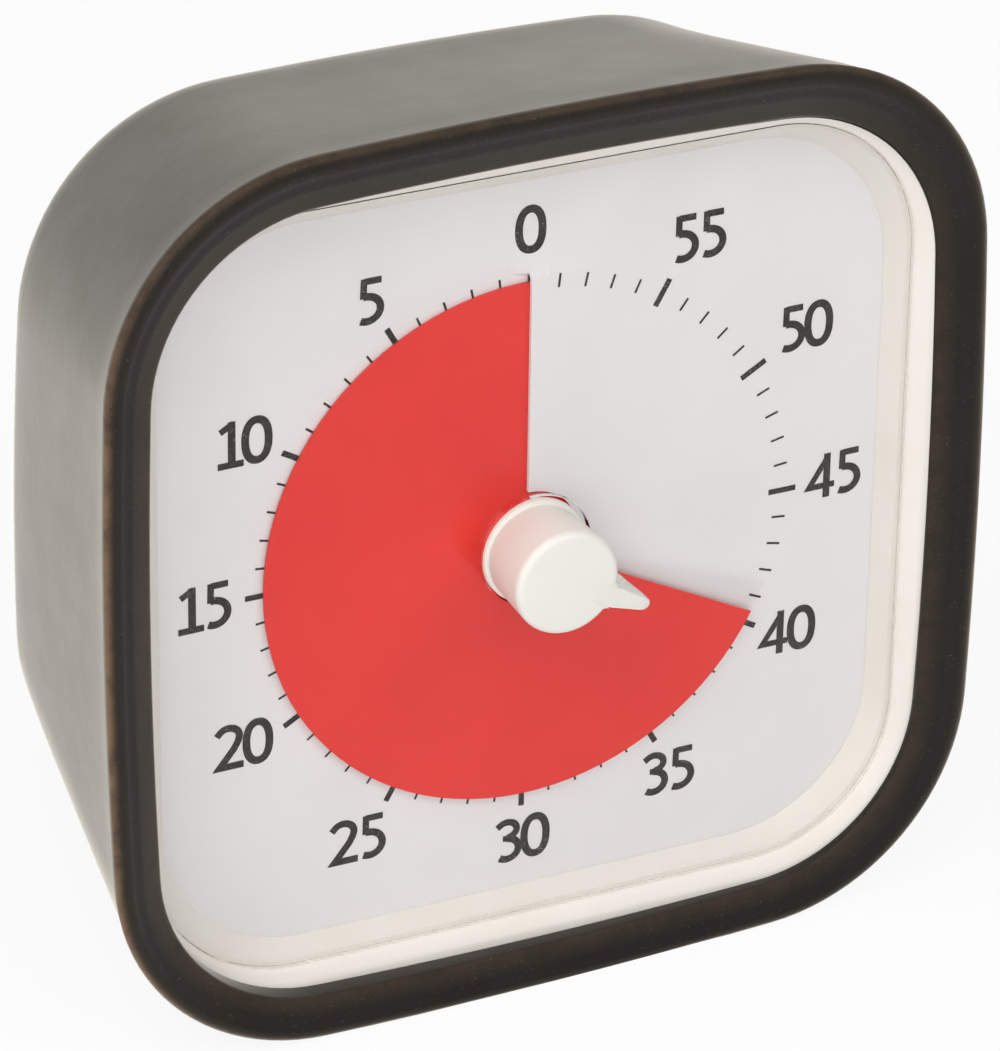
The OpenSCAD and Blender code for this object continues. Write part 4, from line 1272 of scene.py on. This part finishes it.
@dataclass
class Lens(Assembly):
    """The clear sheet over the dial, with its hole for the knob."""

    hole_r: float = 5.6
    edge: float = 0.03
    seat_gap: float = 0.02
    hole_offset: float = 0.12
    land: float = 2.0

    def build(self) -> None:
        """Model the sheet with its polished edges."""
        clock = self.clock
        half = clock.face_half - clock.lip_w - clock.rim_w - self.seat_gap
        corner = clock.lens_seat_r - self.seat_gap
        back, front = clock.lens_front - clock.lens_t + self.seat_gap, clock.lens_front
        square = rounded_square(half, corner, clock.straight_side_r)
        angles = [math.atan2(y, x) for x, y in square]

        def hole(radius: float, depth: float) -> Ring:
            """Section of the hole."""
            return [(radius * math.cos(a) + self.hole_offset,
                     radius * math.sin(a) + self.hole_offset, depth) for a in angles]

        def outer(inset: float, depth: float) -> Ring:
            """Section of the outside."""
            return [(x * (half - inset) / half, y * (half - inset) / half, depth)
                    for x, y in square]

        rings = [hole(self.hole_r, back + self.edge), hole(self.hole_r, front - self.edge),
                 hole(self.hole_r + self.edge, front), hole(self.hole_r + self.land, front),
                 outer(self.edge, front), outer(0.0, front - self.edge),
                 outer(0.0, back + self.edge), outer(self.edge, back),
                 hole(self.hole_r + self.land, back), hole(self.hole_r + self.edge, back)]
        piece = Bench.skin("lens_sheet", rings, closed=True)
        Bench.smooth(piece, 30)
        self.stand_up(piece, Stock.LENS, "clear", "lens")


# ---------------------------------------------------------------- dial


class Glyph(Enum):
    """The strokes of each numeral, as middle lines in millimetres about its centre."""

    ZERO = "0"
    ONE = "1"
    TWO = "2"
    THREE = "3"
    FOUR = "4"
    FIVE = "5"

    def strokes(self) -> list["Stroke"]:
        """The strokes that draw the numeral."""
        return STROKES[self]


@dataclass(frozen=True)
class Stroke:
    """One stroke of a numeral: its middle line, its width and whether it is closed."""

    line: tuple[tuple[float, float], ...]
    width: float = 0.72
    closed: bool = False
    ink_spread: float = 0.05
    mitre_limit: float = 0.35

    def pairs(self) -> list[tuple[tuple[float, float], tuple[float, float]]]:
        """Points to the left and right of the middle line, mitred at its corners.

        Returns:
            The pairs along the stroke.
        """
        count = len(self.line)
        found = []
        for index, (x, y) in enumerate(self.line):
            before = self.line[(index - 1) % count] if index or self.closed else None
            after = self.line[(index + 1) % count] if index < count - 1 or self.closed else None
            ways = []
            if before:
                ways.append(Vector((x - before[0], y - before[1])).normalized())
            if after:
                ways.append(Vector((after[0] - x, after[1] - y)).normalized())
            way = sum(ways, Vector((0, 0))).normalized()
            out = Vector((-way.y, way.x))
            mitre = abs(out.dot(Vector((-ways[0].y, ways[0].x))))
            reach = (self.width + self.ink_spread) / 2 / max(self.mitre_limit, mitre)
            found.append(((x + out.x * reach, y + out.y * reach),
                          (x - out.x * reach, y - out.y * reach)))
        if self.closed:
            found.append(found[0])
        return found


def bow(centre: tuple[float, float], reach: tuple[float, float], start: float, end: float,
        steps: int, power: float = 2.0) -> tuple[tuple[float, float], ...]:
    """Points along a bowed line.

    Args:
        centre: Its centre.
        reach: Its half widths.
        start: First angle in degrees.
        end: Last angle in degrees.
        steps: Number of steps.
        power: 2 for an ellipse, more for squarer shoulders.

    Returns:
        The points.
    """
    found = []
    for step in range(steps + 1):
        angle = math.radians(start + (end - start) * step / steps)
        c, s = math.cos(angle), math.sin(angle)
        found.append((centre[0] + reach[0] * math.copysign(abs(c) ** (2 / power), c),
                      centre[1] + reach[1] * math.copysign(abs(s) ** (2 / power), s)))
    return tuple(found)


STROKES: dict[Glyph, list[Stroke]] = {
    Glyph.ZERO: [Stroke(bow((0, 0), (1.17, 2.03), 0, 345, 46, 2.25), 0.74, True)],
    Glyph.ONE: [Stroke(((0.2, 2.32), (0.2, -2.1)), 0.72),
                Stroke(((0.4, 2.12), (-0.35, 1.72), (-0.95, 1.38)), 0.6),
                Stroke(((-1.2, -2.03), (1.38, -2.03)), 0.62)],
    Glyph.TWO: [Stroke(((-1.28, 1.3),) + bow((-0.1, 1.05), (1.1, 0.95), 140, -8, 14)
                       + ((0.85, 0.45), (0.45, -0.25), (-1.02, -2.03), (1.4, -2.03)), 0.68)],
    Glyph.THREE: [Stroke(((-1.15, 1.55),) + bow((-0.12, 1.17), (1.02, 0.84), 125, -88, 16), 0.66),
                  Stroke(bow((-0.12, -0.92), (1.22, 1.12), 92, -128, 18), 0.7),
                  Stroke(((-0.55, 0.26), (0.12, 0.26)), 0.58)],
    Glyph.FOUR: [Stroke(((0.62, 1.95), (-1.35, -1.05), (1.42, -1.05)), 0.58),
                 Stroke(((0.55, 2.32), (0.55, -2.34)), 0.7)],
    Glyph.FIVE: [Stroke(((1.12, 2.03), (-0.62, 2.03)), 0.62),
                 Stroke(((-0.62, 2.3), (-0.66, 0.3)), 0.62),
                 Stroke(((-0.66, 0.48), (-0.25, 0.5))
                        + bow((-0.28, -0.77), (1.34, 1.25), 78, -118, 18), 0.7)],
}


@dataclass
class Dial(Assembly):
    """The dial card with its printed numerals and marks."""

    ink_over: float = 0.025
    stroke_step: float = 0.004
    one_shift: float = 0.16
    pitch: float = 2.86
    short_mark: tuple[float, float, float] = (26.0, 27.4, 0.23)
    long_mark: tuple[float, float, float] = (25.4, 28.3, 0.58)
    numbers: dict[int, tuple[float, float]] = field(default_factory=lambda: {
        0: (-0.01, 31.97), 5: (-15.88, 27.69), 10: (-28.44, 16.05), 15: (-32.52, 0.08),
        20: (-28.58, -15.02), 25: (-16.99, -27.95), 30: (0.1, -31.84), 35: (15.66, -28.1),
        40: (28.19, -15.46), 45: (32.57, 0.54), 50: (28.7, 16.83), 55: (17.14, 28.23)})

    def on_card(self, over: float) -> Callable[[Vector], Point]:
        """A move that lays points on the card's front.

        Args:
            over: Height over the card.

        Returns:
            The move, which keeps the points' own small heights.
        """
        def lay(place: Vector) -> Point:
            """Drop one point on the card."""
            return place.x, place.y, place.z + self.clock.card_height(place.x, place.y) + over
        return lay

    def glyph(self, glyph: Glyph, middle: tuple[float, float]) -> list[bpy.types.Object]:
        """Draw one numeral.

        Args:
            glyph: The numeral.
            middle: Its centre on the dial.

        Returns:
            Its strokes as ribbons.
        """
        ribbons = []
        for level, stroke in enumerate(glyph.strokes()):
            height = self.stroke_step * level
            pairs = [tuple((x + middle[0], y + middle[1], height) for x, y in pair)
                     for pair in stroke.pairs()]
            ribbons.append(Bench.ribbon(f"stroke_{glyph.value}", pairs))
        return ribbons

    def numerals(self) -> bpy.types.Object:
        """Draw all the numerals.

        Returns:
            The numerals as one piece.
        """
        ribbons: list[bpy.types.Object] = []
        for number, (x, y) in self.numbers.items():
            digits = str(number)
            for place, digit in enumerate(digits):
                shift = (place - (len(digits) - 1) / 2) * self.pitch
                tighter = self.one_shift if digits.startswith("1") and place == 0 else 0.0
                ribbons.extend(self.glyph(Glyph(digit), (x + shift + tighter, y)))
        piece = Bench.join("dial_numerals", ribbons)
        Bench.shape(piece, self.on_card(self.ink_over))
        return self.stand_up(piece, Stock.INK, "dial_print")

    def marks(self) -> bpy.types.Object:
        """Draw the minute marks, each a copy of a short or a long one turned to its place.

        Returns:
            The marks as one piece.
        """
        made: list[bpy.types.Object] = []
        for low, high, width in (self.short_mark, self.long_mark):
            pairs = [((-width / 2, low + (high - low) * step / 4, 0),
                      (width / 2, low + (high - low) * step / 4, 0)) for step in range(5)]
            made.append(Bench.ribbon("minute_mark", pairs))
        marks: list[bpy.types.Object] = []
        for minute in range(1, 60):
            mark = Bench.copy(made[0 if minute % 5 else 1], f"mark_{minute}")
            mark.data.transform(Matrix.Rotation(math.radians(6 * minute), 4, "Z"))
            marks.append(mark)
        for first in made:
            bpy.data.objects.remove(first)
        piece = Bench.join("minute_marks", marks)
        Bench.shape(piece, self.on_card(self.ink_over))
        return self.stand_up(piece, Stock.INK, "dial_print")

    def build(self) -> None:
        """Print the dial."""
        self.keep(Stock.PRINT, "dial_card")
        self.numerals()
        self.marks()


@dataclass
class Disc(Assembly):
    """The red disc with the clear strip that runs ahead of its edge."""

    body: str = "disc"
    strip_turn: float = 7.0
    strip_in_r: float = 5.9
    strip_half_t: float = 0.08
    strip_gap: float = 0.02
    strip_inset: float = 0.05

    def build(self) -> None:
        """Finish the disc and model the strip of clear film at its leading edge."""
        self.keep(Stock.RED, "timer_disc")
        self.keep(Stock.HUB, "disc_hub")
        clock = self.clock
        low, high, thick = self.strip_in_r, clock.disc_r - self.strip_inset, self.strip_half_t
        rings: list[Ring] = []
        for step in range(5):
            turn = clock.rest_turn + self.strip_gap + self.strip_turn * step / 4
            angle = math.radians(turn)
            lift = clock.disc_pitch * turn / 360
            rings.append([(-math.sin(angle) * r, math.cos(angle) * r, lift + over)
                          for r, over in ((low, thick), (high, thick), (high, -thick),
                                          (low, -thick))])
        piece = Bench.skin("leading_strip", rings)
        self.stand_up(piece, Stock.FILM, "disc_red")


@dataclass
class Knob(Assembly):
    """The knob with its pointer, and the shaft behind it."""

    body: str = "knob_and_shaft"
    foot_r: float = 4.9
    collar_r: float = 5.28
    collar_front: float = 2.8
    head_r: float = 5.2
    back: float = 2.0
    front: float = 9.9
    edge_r: float = 0.7
    dome: float = 0.1
    bore_r: float = 1.64
    bore_front: float = 8.95
    pole_r: float = 0.02
    collar_edge_r: float = 0.12
    side_depths: tuple[float, ...] = (3.6, 5.0, 6.3)
    edge_degrees: tuple[float, ...] = (4, 16, 30, 45, 60, 75, 90)
    dome_parts: tuple[float, ...] = (0.6, 0.25)
    nose_reach: float = 10.15
    nose_r: float = 0.6
    nose_root: float = 2.3
    nose_root_back: float = 4.4
    nose_start: float = 0.86
    nose_back: float = 7.1
    nose_tip_z: float = 8.8
    nose_drop: float = 0.12
    nose_edge_r: float = 0.2
    brow_gap: float = 0.25
    nose_turn: float = 242.4
    nose_span: float = 42.0
    fillet: tuple[float, float] = (11.0, 36.0)
    fillet_steps: int = 5

    def side_r(self, depth: float) -> float:
        """Radius of the tapered side at a depth."""
        part = (depth - self.back) / (self.front - self.edge_r - self.back)
        return self.foot_r + (self.head_r - self.foot_r) * min(1.0, max(0.0, part))

    def nose(self, angle: float, root_w: float) -> float:
        """Reach of the outline with the nose, in a direction from the nose's middle.

        Args:
            angle: Direction in radians from the middle of the nose.
            root_w: Width of the nose where it meets the knob.

        Returns:
            The radius of the outline.
        """
        turn = abs((angle + math.pi) % math.tau - math.pi)
        tip_x = self.nose_reach - self.nose_r
        if turn > math.radians(self.nose_span):
            return self.head_r
        best = self.head_r
        if math.sin(turn) * tip_x < self.nose_r:
            best = max(best, tip_x * math.cos(turn)
                       + math.sqrt(self.nose_r ** 2 - (tip_x * math.sin(turn)) ** 2))
        root = Vector((self.head_r * self.nose_start, root_w / 2))
        slant = math.atan2(root.y, tip_x - root.x)
        lean = slant - math.asin(min(1.0, self.nose_r / math.hypot(root.y, tip_x - root.x)))
        touch = Vector((tip_x + self.nose_r * math.sin(lean), self.nose_r * math.cos(lean)))
        run = touch - root
        cross = run.x * math.sin(turn) - run.y * math.cos(turn)
        if abs(cross) > 1e-9:
            radius = (run.x * root.y - run.y * root.x) / cross
            along = (radius * math.cos(turn) - root.x) / run.x
            if radius > 0 and along <= 1.0 and turn < math.atan2(root.y, root.x):
                best = max(best, radius)
        return best

    def outline(self, root_w: float) -> list[tuple[float, float]]:
        """Directions and reaches round the knob with its nose, blended with small fillets.

        Args:
            root_w: Width of the nose where it meets the knob.

        Returns:
            Pairs of direction and reach, closer together at the nose.
        """
        turns = [math.radians(step - 45) for step in range(91)]
        turns += [math.radians(45 + 5 * step) for step in range(1, 54)]
        raw = [self.nose(turn, root_w) for turn in turns]
        eased = []
        for index, (turn, reach) in enumerate(zip(turns, raw)):
            if self.fillet[0] < abs(math.degrees(turn)) < self.fillet[1]:
                near = raw[index - self.fillet_steps:index + self.fillet_steps + 1]
                reach = max(reach, sum(near) / len(near))
            eased.append((turn, reach))
        return eased

    def section(self, reach: Callable[[float], tuple[float, float]],
                outline: Sequence[tuple[float, float]]) -> Ring:
        """Section whose radius and height depend on the outline's reach.

        Args:
            reach: Gives the radius and the height where the outline reaches so far.
            outline: Pairs of direction and reach round the knob.

        Returns:
            The points of the section.
        """
        heading = math.radians(self.nose_turn + 90)
        points = []
        for turn, far in outline:
            radius, depth = reach(far)
            points.append((radius * math.cos(turn + heading), radius * math.sin(turn + heading),
                           depth))
        return points

    def nosed(self, far: float) -> bool:
        """Whether the outline runs along the nose where it reaches so far."""
        return far > self.head_r + 1e-4

    def slope(self, radius: float) -> float:
        """Height of the nose's top at a radius.

        Args:
            radius: Distance from the middle of the knob.

        Returns:
            The height.
        """
        inner = self.head_r - self.edge_r
        part = (radius - inner) / (self.nose_reach - inner)
        top = self.front - self.nose_drop
        return top + (self.nose_tip_z - top) * part

    def shoulder(self, angle: float, far: float) -> tuple[float, float]:
        """A point over the rounded edge, drawn out along the nose.

        Args:
            angle: Turn round the edge in radians, from the side to the top.
            far: Reach of the outline there.

        Returns:
            Its radius and its height.
        """
        round_r = self.head_r - self.edge_r + self.edge_r * math.cos(angle)
        extra = (far - self.head_r) * (1 - math.sin(angle)) ** 0.8
        height = self.front - self.edge_r + self.edge_r * math.sin(angle)
        if self.nosed(far):
            share = min(1.0, (far - self.head_r) / 0.5)
            height += (self.slope(round_r + extra) - height) * share
        return round_r + extra, height

    def nose_foot(self, far: float) -> tuple[float, float]:
        """A point where the underside of the nose turns into its side.

        Args:
            far: Reach of the outline there.

        Returns:
            Its radius and its height.
        """
        if far > self.head_r + 0.3:
            return far - self.nose_edge_r, self.nose_back
        return self.side_r(self.nose_back), self.nose_back

    def nose_side(self, far: float) -> tuple[float, float]:
        """A point at the lower end of the nose's side.

        Args:
            far: Reach of the outline there.

        Returns:
            Its radius and its height.
        """
        radius = far if self.nosed(far) else self.side_r(self.nose_back)
        return radius, self.nose_back + self.nose_edge_r

    def brow(self, far: float) -> tuple[float, float]:
        """A point just under the rounded edge of the top.

        Args:
            far: Reach of the outline there.

        Returns:
            Its radius and its height.
        """
        height = self.front - self.edge_r - self.brow_gap
        return far, min(self.slope(far) - 0.22, height) if self.nosed(far) else height

    def sections(self) -> list[Ring]:
        """All the sections, from the bore over the collar and the nose to the top.

        Returns:
            The sections in order.
        """
        star = self.outline(self.nose_root)
        wide = self.outline(self.nose_root_back)
        inner = self.head_r - self.edge_r
        easing = self.collar_edge_r

        def level(radius: float, depth: float) -> Ring:
            """Round section."""
            return self.section(lambda _far: (radius, depth), star)

        rings = [level(radius, depth) for radius, depth in (
            (self.pole_r, self.bore_front), (self.bore_r, self.bore_front),
            (self.bore_r, self.back), (self.collar_r - easing, self.back),
            (self.collar_r, self.back + easing), (self.collar_r, self.collar_front - 0.2),
            (self.collar_r - 0.06, self.collar_front - 0.06),
            (self.collar_r - 0.2, self.collar_front), (self.foot_r + easing, self.collar_front),
            (self.foot_r, self.collar_front + easing))]
        rings += [level(self.side_r(depth), depth)
                  for depth in (*self.side_depths, self.nose_back - 0.25)]
        rings.append(level(self.side_r(self.nose_back), self.nose_back - 0.02))
        rings += [self.section(self.nose_foot, wide), self.section(self.nose_side, wide),
                  self.section(self.brow, star)]
        rings += [self.section(partial(self.shoulder, math.radians(degrees)), star)
                  for degrees in self.edge_degrees]
        rings += [level(inner * part, self.front + self.dome * (1 - part * part))
                  for part in self.dome_parts]
        rings.append(level(self.pole_r, self.front + self.dome))
        return rings

    def build(self) -> None:
        """Model the knob with its nose, and finish the shaft's pieces."""
        piece = Bench.skin("knob_cap", self.sections())
        Bench.smooth(piece, 42)
        self.stand_up(piece, Stock.KNOB, "knob_white", "knob")
        self.keep(Stock.STEEL, "knob_shaft")
        self.keep(Stock.BRASS, "clutch_collar")
        self.keep(Stock.SPRING, "clutch_spring")
        self.keep(Stock.GEAR, "alarm_cam")


# ---------------------------------------------------------------- works behind the dial


@dataclass
class Movement(Assembly):
    """The quartz movement with its train, circuit and alarm contact."""

    def build(self) -> None:
        """Finish the movement's pieces."""
        self.keep(Stock.MOVEMENT, "movement_front", "movement_back")
        self.keep(Stock.BOARD, "circuit_board")
        self.keep(Stock.CAN, "quartz_crystal")
        self.keep(Stock.CHIP, "control_chip")
        self.keep(Stock.CONTACT, "alarm_contact")
        self.keep(Stock.CORE, "stator")
        self.keep(Stock.BOBBIN, "coil_bobbin")
        self.keep(Stock.WINDING, "coil_winding")
        self.keep(Stock.MAGNET, "rotor")
        self.keep(Stock.GEAR, "step_wheel", "third_wheel", "second_wheel")
        self.keep(Stock.BRASS, "centre_wheel")
        self.keep(Stock.SCREW, "movement_screws")


@dataclass
class Power(Assembly):
    """The cell with its contacts, door, sounder, switch and wires."""

    door_edge_m: float = 0.00025
    slider_edge_m: float = 0.0002

    def build(self) -> None:
        """Finish the pieces, with rounded edges where they show at the back."""
        self.keep(Stock.CELL, "battery")
        self.keep(Stock.CONTACT, "battery_spring", "battery_plate")
        self.keep(Stock.SWITCH, "switch_body", "sounder_housing")
        self.keep(Stock.BRASS, "sounder_disc")
        self.keep(Stock.WIRE_RED, "battery_wires")
        self.keep(Stock.WIRE_BLACK, "sounder_wires")
        self.keep(Stock.WIRE_YELLOW, "switch_wires")
        door = Power(self.clock, "battery_door")
        door.register(Bench.softened("battery_door", self.door_edge_m, "door_moulding"),
                      Stock.BACK, "back_white", "battery_door")
        slider = Power(self.clock, "switch_slider")
        slider.register(Bench.softened("switch_slider", self.slider_edge_m, "slider_moulding"),
                        Stock.SWITCH, "switch_black", "switch_slider")


# ---------------------------------------------------------------- studio


@dataclass
class Studio:
    """A pale floor, soft lamps, and the camera, which is placed in the dial's millimetres."""

    clock: Clock = field(default_factory=Clock)
    azimuth: float = -25.8387
    elevation: float = 27.4085
    roll: float = 0.8566
    distance: float = 548.186
    aside: float = -2.11
    upward: float = 1.28
    lens: float = 201.6
    floor_half: float = 1.6
    floor_white: float = 0.86
    floor_glow: float = 0.9
    air: float = 0.21
    aim: Point = (0, 0, 0.04)

    def floor(self) -> None:
        """Lay a pale floor that stays white and still takes the object's shadow."""
        Bench.clear()
        bpy.ops.mesh.primitive_plane_add(size=2 * self.floor_half, location=(0, 0, 0))
        floor = Bench.start("studio_floor")
        bpy.ops.object.mode_set(mode="EDIT")
        bpy.ops.mesh.subdivide(number_cuts=6)
        bpy.ops.object.mode_set(mode="OBJECT")
        brew = Brew("studio_floor_white")
        paint = brew.add("ShaderNodeBsdfDiffuse")
        paint.inputs["Color"].default_value = (*[self.floor_white] * 3, 1)
        glow = brew.add("ShaderNodeEmission")
        glow.inputs["Color"].default_value = (1, 1, 1, 1)
        path = brew.add("ShaderNodeLightPath")
        seen = brew.calc("MAXIMUM", brew.calc("MAXIMUM", path.outputs["Is Camera Ray"],
                                              path.outputs["Is Glossy Ray"]),
                         path.outputs["Is Transmission Ray"])
        mix = brew.add("ShaderNodeMixShader")
        brew.join(brew.calc("MULTIPLY", seen, self.floor_glow), mix.inputs[0])
        brew.join(paint.outputs[0], mix.inputs[1])
        brew.join(glow.outputs[0], mix.inputs[2])
        brew.join(mix.outputs[0], brew.output.inputs["Surface"])
        floor.data.materials.append(brew.material)

    def lamp(self, name: str, place: Point, size: float, watts: float,
             colour: Colour) -> None:
        """Hang a soft square lamp.

        Args:
            name: Name of the lamp.
            place: Where it hangs, in metres, facing the object.
            size: Width in metres.
            watts: Power.
            colour: Colour of its light.
        """
        light = bpy.data.lights.new(name, "AREA")
        light.shape = "SQUARE"
        light.size = size
        light.energy = watts
        light.color = colour
        holder = bpy.data.objects.new(name, light)
        bpy.context.scene.collection.objects.link(holder)
        holder.location = place
        facing = (Vector(self.aim) - Vector(place)).to_track_quat("-Z", "Y")
        holder.rotation_euler = facing.to_euler()

    def surroundings(self) -> None:
        """Fill the room with an even pale light."""
        world = bpy.data.worlds.new("studio_air")
        bpy.context.scene.world = world
        world.use_nodes = True
        back = world.node_tree.nodes["Background"]
        back.inputs["Color"].default_value = (1.0, 1.0, 1.0, 1)
        back.inputs["Strength"].default_value = self.air

    def camera(self) -> None:
        """Set up the camera by its angles to the dial."""
        a, e, r = (math.radians(v) for v in (self.azimuth, self.elevation, self.roll))
        back = Vector((math.sin(a) * math.cos(e), math.sin(e), math.cos(a) * math.cos(e)))
        right = (-back).cross(Vector((0, 1, 0))).normalized()
        up = right.cross(-back)
        right, up = (right * math.cos(r) + up * math.sin(r), up * math.cos(r) - right * math.sin(r))
        place = back * self.distance + right * self.aside + up * self.upward
        view = Matrix(((right.x, up.x, back.x, place.x), (right.y, up.y, back.y, place.y),
                       (right.z, up.z, back.z, place.z), (0, 0, 0, 1)))
        placed = self.clock.standing() @ view
        lens = bpy.data.cameras.new("studio_camera")
        lens.lens = self.lens
        lens.sensor_width = 36.0
        lens.clip_start = 0.01
        lens.clip_end = 20.0
        holder = bpy.data.objects.new("studio_camera", lens)
        bpy.context.scene.collection.objects.link(holder)
        holder.matrix_world = Matrix.LocRotScale(placed.to_translation(), placed.to_quaternion(),
                                                 (1, 1, 1))
        bpy.context.scene.camera = holder

    def build(self) -> None:
        """Set up the studio."""
        self.floor()
        self.surroundings()
        self.lamp("side_softbox", (-0.8, -0.15, 0.1), size=0.6, watts=1.4,
                  colour=(1.0, 0.97, 0.93))
        self.lamp("key_softbox", (-0.35, -0.9, 0.5), size=0.8, watts=3.9,
                  colour=(1.0, 0.995, 0.985))
        self.lamp("right_softbox", (0.45, -0.45, 0.85), size=0.8, watts=3.2,
                  colour=(1.0, 0.995, 0.985))
        self.lamp("top_softbox", (-0.5, 0.0, 0.9), size=0.8, watts=5.8,
                  colour=(1.0, 0.98, 0.95))
        self.camera()
        LOG.info("set up the studio")


def main() -> None:
    """Build the studio, then the clock's pieces in order."""
    logging.basicConfig(level=logging.INFO, format="%(name)s: %(message)s")
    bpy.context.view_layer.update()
    bpy.context.scene.view_settings.view_transform = "Standard"
    clock = Clock()
    Studio(clock).build()
    for kind in (Sleeve, Case, Lens, Dial, Disc, Knob, Movement, Power):
        kind(clock).build()
        LOG.info("built the %s", kind.__name__.lower())


if __name__ == "__main__":
    main()
